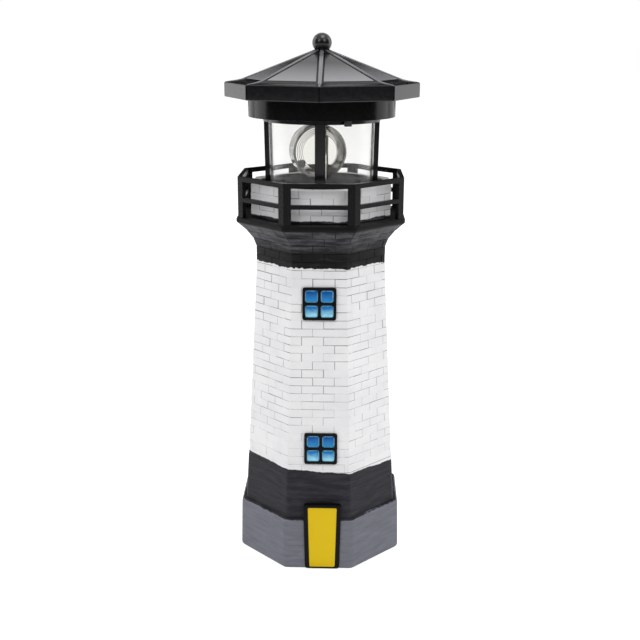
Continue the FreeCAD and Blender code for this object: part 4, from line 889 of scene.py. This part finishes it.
# %% The glazing tube
DECK_TOP = 196.2
DRUM_BOTTOM = 229.7
GLASS_FOOT = 26.0
GLASS_HEAD = 26.6
GLASS_WALL = 1.2
GLASS_GAP = 0.2
foot, head = DECK_TOP + GLASS_GAP, DRUM_BOTTOM - GLASS_GAP
glass_outline = [(GLASS_FOOT - GLASS_WALL, foot), (GLASS_FOOT, foot), (GLASS_HEAD, head),
                 (GLASS_HEAD - GLASS_WALL, head)]
glass = turned("glazing", glass_outline, glazing_finish)
add_piece(glass, "glazing_tube", "head", "clear_plastic", "glazing")

# %% The hoop
HEADING = math.radians(14)
HOOP_RADIUS = 13.9
HOOP_WALL = 1.0
HOOP_LENGTH = 13.0
HOOP_CENTRE = 211.3
HOOP_EDGE = 0.25
LENS_SET_BACK = 3.2


def standing(place, x_axis, y_axis, z_axis):
    """The matrix of a thing that stands at a place, with its own axes along those three."""
    return Matrix.Translation(place) @ Matrix((x_axis, y_axis, z_axis)).transposed().to_4x4()


facing = Vector((math.sin(HEADING), -math.cos(HEADING), 0))
lens_centre = Vector((-LENS_SET_BACK * facing.x, -LENS_SET_BACK * facing.y, HOOP_CENTRE))
lens_place = standing(lens_centre, (-facing.y, facing.x, 0), (0, 0, -1), -facing)
outer, inner = HOOP_RADIUS, HOOP_RADIUS - HOOP_WALL
hoop_outline = [(inner, HOOP_EDGE), (inner + HOOP_EDGE, 0), (outer - HOOP_EDGE, 0), (outer, HOOP_EDGE),
                (outer, HOOP_LENGTH - HOOP_EDGE), (outer - HOOP_EDGE, HOOP_LENGTH),
                (inner + HOOP_EDGE, HOOP_LENGTH), (inner, HOOP_LENGTH - HOOP_EDGE)]
hoop = turned("lens_hoop", hoop_outline, hoop_finish, place=lens_place)
add_piece(hoop, "lens_hoop_clear", "lens", "clear_plastic", "lens_hoop")

# %% The lens
BULLSEYE = 9.2
LENS_RIM = 12.85
LENS_DEPTH = 1.8
RINGS = 4
pitch = (LENS_RIM - BULLSEYE) / RINGS


def paint_prism_shade():
    """Painted shade: grey lines where one prism ring meets the next, for the dark edges that refraction shows
    there.
    """
    tree = lens_finish.node_tree
    reach = add_node(tree, "ShaderNodeVectorMath", {0: place_in(tree), 1: lens_centre * MM}, output="Value",
                     operation="DISTANCE")
    turns = (reach - BULLSEYE * MM) / (pitch * MM)
    # Painted shade: darker lines at the prism steps.
    line = ramp(calculate("COSINE", turns * math.tau), 0.45, 0.9) * ramp(turns, -0.6, -0.3)
    feed(tree.nodes["Principled BSDF"], {"Base Color": blend(line, "f8f7f2", "4f4e4d")})


lens_outline = [(0, 0.0), (BULLSEYE * 0.5, 0.05), (BULLSEYE * 0.8, 0.2), (BULLSEYE, 0.45)]
for i in range(RINGS):
    lens_outline += [(BULLSEYE + pitch * (i + 0.12), 0.4), (BULLSEYE + pitch * (i + 0.95), 0.02)]
lens_outline += [(LENS_RIM, 0.3), (LENS_RIM, LENS_DEPTH), (0, LENS_DEPTH)]
paint_prism_shade()
lens = turned("fresnel_lens", lens_outline, lens_finish, place=lens_place, crisp=25)
add_piece(lens, "fresnel_lens_clear", "lens", "clear_plastic", "fresnel_lens")

# %% [markdown]
# ## Roof
# The roof is one moulding: eight flat facets that sweep out into a shallow flare at the eave, an upright
# fascia, and a rounded bead along each hip. A dark solar panel lies in each facet. The shell is drawn as rings
# of octagons with a corner to the front; each facet is then given a sunk bed for its panel.

# %% Measures of the roof
APEX_RADIUS = 3.2
APEX = 261.8
SLOPE_END = 40.0
SLOPE_END_HEIGHT = 247.5
EAVE = 49.0
EAVE_BOTTOM = 239.0
EAVE_GLOSS = 246.2
GROOVED_FROM = 48.2
FLARE = [(42.5, 247.02), (45.0, 246.72), (47.2, 246.5), (48.5, 246.3)]
CELL_MARGIN = 1.7
CELL_BED = 1.0
CELL_START = 5.0
FLATS = math.cos(HALF_TURN)
facet_slope = math.atan2(APEX - SLOPE_END_HEIGHT, (SLOPE_END - APEX_RADIUS) * FLATS)


def facet_point(k, down, side, raise_by=0.0):
    """A point of facet k: `down` its slope from the apex flat, `side` from its middle line."""
    angle = HALF_TURN + math.tau * k / 8
    outward = Vector((math.cos(angle), math.sin(angle), 0))
    across = Vector((-outward.y, outward.x, 0))
    fall = outward * math.cos(facet_slope) - Vector((0, 0, math.sin(facet_slope)))
    normal = outward * math.sin(facet_slope) + Vector((0, 0, math.cos(facet_slope)))
    top = outward * (APEX_RADIUS * FLATS) + Vector((0, 0, APEX))
    return top + fall * down + across * side + normal * raise_by


def facet_half(down):
    """Half the facet's width at that distance down its slope."""
    return (APEX_RADIUS * FLATS + down * math.cos(facet_slope)) * math.tan(HALF_TURN)


slope_length = (SLOPE_END - APEX_RADIUS) * FLATS / math.cos(facet_slope)
CELL_END = slope_length - 1.4
print("facet slope in degrees:", round(math.degrees(facet_slope), 2), "length:", round(slope_length, 2))

# %% Shape the roof
def add_points(points, ring):
    """Add a ring to a list of points; returns its numbers."""
    points += ring
    return range(len(points) - len(ring), len(points))


def corner_ring(radius, height, corner=0.6, groove=0.0):
    """An octagon with a corner to the front, rounded and perhaps grooved there."""
    ring = octagon_ring(radius * FLATS, height, corner, corner_first=True)
    sunk = 1 - groove / radius
    return [(x * sunk, y * sunk, z) if i % CORNER_STEPS in (2, 3) else (x, y, z)
            for i, (x, y, z) in enumerate(ring)]


def cell_corners(k, inset=0.0, lift=0.0):
    """Corners of the solar panel of facet k, drawn in by `inset` and raised by `lift`."""
    return [facet_point(k, down, side * (facet_half(down) - CELL_MARGIN - inset), lift)
            for down, side in ((CELL_START + inset, -1), (CELL_START + inset, 1),
                               (CELL_END - inset, 1), (CELL_END - inset, -1))]


def roof_finish():
    """Black moulding: glossy round the upright edge, duller on the slopes."""
    material, tree, shader = new_finish("roof plastic")
    height = part_of(place_in(tree), "Z")
    feed(shader, {"Base Color": blend(noise(tree, 60, 4), "101012", "18181b"),
                  "Specular IOR Level": ramp(height, EAVE_GLOSS * MM, (EAVE_GLOSS + 0.5) * MM, 0.4, 0.05)})
    add_grain(shader, noise(tree, 500, 3), 0.14, 0.22, 0.15)
    return material


roof_plastic = roof_finish()


def roof_shell():
    profile = [(SLOPE_END, SLOPE_END_HEIGHT)] + FLARE
    profile += [(EAVE - 0.1, 246.0), (EAVE, 245.6), (EAVE, EAVE_BOTTOM + 0.5), (EAVE - 0.2, EAVE_BOTTOM + 0.1),
                (EAVE - 0.7, EAVE_BOTTOM), (EAVE - 2.3, EAVE_BOTTOM), (EAVE - 2.38, EAVE_BOTTOM + 0.3),
                (EAVE - 2.38, 243.8), (44.5, 244.2), (SLOPE_END, 245.1), (APEX_RADIUS, 259.4)]
    points = []
    rings = [add_points(points, corner_ring(r, h, 1.6, 0.6) if r > GROOVED_FROM else corner_ring(r, h))
             for r, h in profile]
    top = add_points(points, corner_ring(APEX_RADIUS, APEX))
    faces = bridge(rings) + [tuple(rings[-1]), tuple(top)]
    for k in range(8):
        first, last, following = k * CORNER_STEPS, (k + 1) * CORNER_STEPS - 1, (k + 1) % 8 * CORNER_STEPS
        for i in range(first, last):
            faces.append((top[i], top[i + 1], rings[0][i + 1], rings[0][i]))
        corners = [top[last], top[following], rings[0][following], rings[0][last]]
        rim = add_points(points, cell_corners(k))
        bed = add_points(points, cell_corners(k, lift=-CELL_BED))
        faces += bridge([corners, rim, bed]) + [tuple(bed)]
    return build("roof_shell", points, faces, roof_plastic, crisp=28)


add_piece(roof_shell(), "roof_moulding", "head", "black_plastic", "roof_shell")

# %% Solar panels
SHEEN_BOTTOM = 248.5
SHEEN_TOP = 256.0


def solar_finish():
    """Thin-film panel: nearly black, with a painted reflection: grey towards the eave, as of a bright room."""
    material, tree, shader = new_finish("solar panel")
    height = part_of(place_in(tree), "Z")
    # Painted reflection: the grey sheen rises towards the eave.
    sheen = noise(tree, 120, 4) * 0.12 + ramp(height, SHEEN_BOTTOM * MM, SHEEN_TOP * MM, 0.9, 0.0)
    feed(shader, {"Base Color": blend(sheen, "0b0b0c", "858589"), "Specular IOR Level": 0.42})
    add_grain(shader, noise(tree, 1500, 2), 0.18, 0.24, 0.2, 0.00004)
    return material


solar_panel = solar_finish()
for k in range(8):
    rims = [cell_corners(k, inset, lift)
            for inset, lift in ((0.12, -CELL_BED), (0.12, -0.25), (0.3, -0.08), (0.6, -0.04))]
    tile = skin(f"solar_panel_{k + 1}", rims, solar_panel, crisp=25, ends="capped")
    add_piece(tile, f"solar_panel_{k + 1}", "head", "solar_cell", f"solar_cell_{k + 1}")

# %% [markdown]
# The beads along the hips repeat eight times about the axis and follow the roof's own profile, so one bead is
# swept down that profile, and a tree turns copies of it.

# %% The hip beads
BEAD_HALF = 1.0
BEAD_RISE = 0.7
BEAD_STEPS = 10


def ring_tree():
    """Copies of a piece, spread evenly about the axis."""
    tree, given = geometry_tree("repeat about the axis", copies="Int", material="Material")
    points = add_node(tree, "GeometryNodePoints", {"Count": given["copies"]})
    angle = add_node(tree, "GeometryNodeInputIndex") / given["copies"] * math.tau
    turn = add_node(tree, "FunctionNodeEulerToRotation", {0: vector(tree, z=angle)})
    spread = add_node(tree, "GeometryNodeInstanceOnPoints",
                      {"Points": points, "Instance": given["Geometry"], "Rotation": turn})
    real = add_node(tree, "GeometryNodeRealizeInstances", {0: spread})
    return finish_tree(tree, real, given["material"])


def hip_bead():
    """One bead along the hip that lies over the X axis: a half-round section swept down the profile."""
    path = [(APEX_RADIUS - 0.4, APEX + 0.1), (12.0, 258.38), (22.0, 254.5), (31.0, 251.0),
            (SLOPE_END, SLOPE_END_HEIGHT)] + FLARE[:-1] + [(48.3, 246.3)]
    rings = []
    for i, (r, z) in enumerate(path):
        shrink = 1.0 if i < 5 else 1.0 - 0.12 * (i - 4)
        before, after = path[max(i - 1, 0)], path[min(i + 1, len(path) - 1)]
        fall = math.atan2(before[1] - after[1], after[0] - before[0])
        rings.append([])
        for step in range(BEAD_STEPS + 1):
            turn = math.pi * step / BEAD_STEPS
            side = BEAD_HALF * shrink * math.cos(turn)
            rise = BEAD_RISE * shrink * math.sin(turn) - 0.3
            rings[-1].append((r + rise * math.sin(fall), side, z + rise * math.cos(fall)))
    return skin("hip_bead", rings, hip_highlight_plastic, crisp=50, ends="capped")


beads = grown("hip_beads", hip_bead(), ring_tree(), 50, copies=8, material=hip_highlight_plastic)
add_piece(beads, "hip_beads", "head", "black_plastic")

# %% The finial ball
BALL = 4.8
BALL_CENTRE = 265.2
STEM = 2.0
low = math.asin((APEX - BALL_CENTRE) / BALL)
rises = [low + (math.pi / 2 - low) * i / 24 for i in range(24)]
ball_outline = [(0, 257.4), (STEM, 257.4), (STEM, APEX)]
ball_outline += [(BALL * math.cos(rise), BALL_CENTRE + BALL * math.sin(rise)) for rise in rises]
ball_outline += [(0, BALL_CENTRE + BALL)]
ball = turned("finial_ball", ball_outline, ball_plastic, steps=64, crisp=50)
add_piece(ball, "finial_ball_smooth", "head", "black_plastic", "finial_ball")

# %% [markdown]
# ## Finishes of the pieces inside
# The drive, the lamp, the battery and the board keep the frame's shapes. Each gets the finish of its material.

# %% Dress the frame's own pieces
INNER_PIECES = (
    (brass, "bearing_bush motor_pinion"),
    (dark_plastic, "gear_housing housing_cover battery_cradle switch_body"),
    (steel, "cover_screws post_screws lamp_leads gear_motor bracket_screws board_screws contact_plate"),
    (steel, "contact_spring roof_screws retaining_clip motor_shaft"),
    (white_plastic, "led_stalk motor_bracket drive_gear"),
    (red_wire, "feed_wires"), (lamp_finish, "led_lamp"), (rubber, "drum_gasket"), (laminate, "circuit_board"),
    (component, "board_components"), (sleeve, "battery_cell"))
for material, pieces in INNER_PIECES:
    for piece in pieces.split():
        wear(NODES[piece].data, material)
print("pieces dressed:", sum(len(pieces.split()) for material, pieces in INNER_PIECES))

# %% [markdown]
# ## Floor, light and camera
# A pale floor runs back without end and keeps the ornament's soft shadow. Large soft lamps stand at both
# sides of the camera, above and at the ornament's sides, at a level where a paint renders as it is written.
# The background is white to the camera. The camera stands where the photograph's did: its place, aim and lens
# were fitted to the octagon's corners and the known height.

# %% The floor
FLOOR = 6.0


def strip(name, corners, material):
    """A band of flat faces between pairs of corners."""
    mesh = bpy.data.meshes.new(name)
    mesh.from_pydata(corners, [], [(i, i + 1, i + 3, i + 2) for i in range(0, len(corners) - 2, 2)])
    mesh.materials.append(material)
    return add_object(name, mesh)


def seen_directly(tree):
    """1 for rays from the camera, and for those that it sends on through glass or off a gloss."""
    camera_ray, glossy_ray, clear_ray = (add_node(tree, "ShaderNodeLightPath", output=f"Is {kind} Ray")
                                         for kind in ("Camera", "Glossy", "Transmission"))
    return calculate("MAXIMUM", camera_ray, calculate("MAXIMUM", glossy_ray, clear_ray))


def floor_finish():
    """Matte white, lifted to the background's white where the camera sees it."""
    material, tree, shader = new_finish("floor")
    feed(shader, {"Base Color": (0.8, 0.8, 0.8, 1), "Roughness": 0.9, "Specular IOR Level": 0.1})
    glow = add_node(tree, "ShaderNodeEmission",
                    {"Color": (1, 1, 1, 1), "Strength": ramp(seen_directly(tree), 0, 1, 0, 0.66)})
    both = add_node(tree, "ShaderNodeAddShader", {0: Wire(shader.outputs[0]), 1: glow})
    feed(tree.nodes["Material Output"], {"Surface": both})
    return material


floor = strip("floor", [(x * FLOOR, y * FLOOR, 0) for y in (-1, 1) for x in (-1, 1)], floor_finish())

# %% The world
world = bpy.data.worlds.new("studio")
bpy.context.scene.world = world
world.use_nodes = True
feed(world.node_tree.nodes["Background"],
     {"Color": (1, 1, 1, 1), "Strength": ramp(seen_directly(world.node_tree), 0, 1, 0.45, 1.0)})

# %% The lamps
LAMPS = {
    "front_light_1": ((-0.8, -1.05, 0.95), 0.13, (0.4, 0.5), 4.3),
    "front_light_3": ((0.7, -1.05, 0.95), 0.13, (0.4, 0.5), 4.3),
    "top_light": ((0.15, -0.25, 1.5), 0.1, (0.7, 0.7), 6.6),
    "left_light": ((-1.15, 0.4, 0.55), 0.12, (0.8, 1.2), 7.4),
    "right_light": ((1.15, 0.4, 0.55), 0.12, (0.8, 1.2), 7)}
for name, (place, aim_height, size, power) in LAMPS.items():
    light = bpy.data.lights.new(name, "AREA")
    light.shape = "RECTANGLE"
    light.size, light.size_y = size
    light.energy = power
    lamp = add_object(name, light)
    lamp.location = place
    lamp.rotation_euler = (Vector((0, 0, aim_height)) - Vector(place)).to_track_quat("-Z", "Y").to_euler()
print("lamps:", len(LAMPS))

# %% Dark screens for the reflections
FRONT_REACH = 1.7
FRONT_TOP = 1.6
FRONT_SWEEP = 128
REAR_HALF = 0.93
REAR_PLACE = 2.0


def dark_screen(name, corners):
    """A black card that only mirror rays meet, so that glossy black pieces stay black."""
    material, _, shader = new_finish(name)
    feed(shader, {"Base Color": (0.01, 0.01, 0.01, 1), "Specular IOR Level": 0.0})
    card = strip(name, corners, material)
    card.visible_camera = False
    card.visible_diffuse = False
    card.visible_transmission = False
    card.visible_shadow = False


turns = [math.radians(FRONT_SWEEP * (step / 8 - 1)) for step in range(17)]
dark_screen("front_screen", [(FRONT_REACH * math.sin(turn), -FRONT_REACH * math.cos(turn), z)
                             for turn in turns for z in (0.0, FRONT_TOP)])
dark_screen("rear_screen", [(x, REAR_PLACE, z) for x in (-REAR_HALF, REAR_HALF) for z in (0.1, 1.2)])

# %% The camera
PHOTO = 640
FOCAL_PIXELS = 983.75
PRINCIPAL_ROW = 309.04
SENSOR = 36.0
EYE = Vector((12.83, -502.45, 266.36))
LOOKS_DOWN = 0.2667
LOOKS_LEFT = 0.0267
ROLL = math.radians(0.18)
camera_data = bpy.data.cameras.new("camera")
camera = add_object("camera", camera_data)
camera_data.sensor_width = SENSOR
camera_data.lens = SENSOR * FOCAL_PIXELS / PHOTO
camera_data.shift_y = -(PHOTO / 2 - PRINCIPAL_ROW) / PHOTO
camera_data.clip_start = 0.01
camera_data.clip_end = 50
ahead = Vector((-math.sin(LOOKS_LEFT) * math.cos(LOOKS_DOWN), math.cos(LOOKS_LEFT) * math.cos(LOOKS_DOWN),
                -math.sin(LOOKS_DOWN)))
level_right = Vector((math.cos(LOOKS_LEFT), math.sin(LOOKS_LEFT), 0))
level_up = level_right.cross(ahead)
right = level_right * math.cos(ROLL) + level_up * math.sin(ROLL)
up = level_up * math.cos(ROLL) - level_right * math.sin(ROLL)
camera.matrix_world = standing(EYE * MM, right, up, -ahead)
bpy.context.scene.camera = camera
bpy.context.scene.view_settings.view_transform = "Standard"
print("lens in millimetres:", round(camera_data.lens, 2))
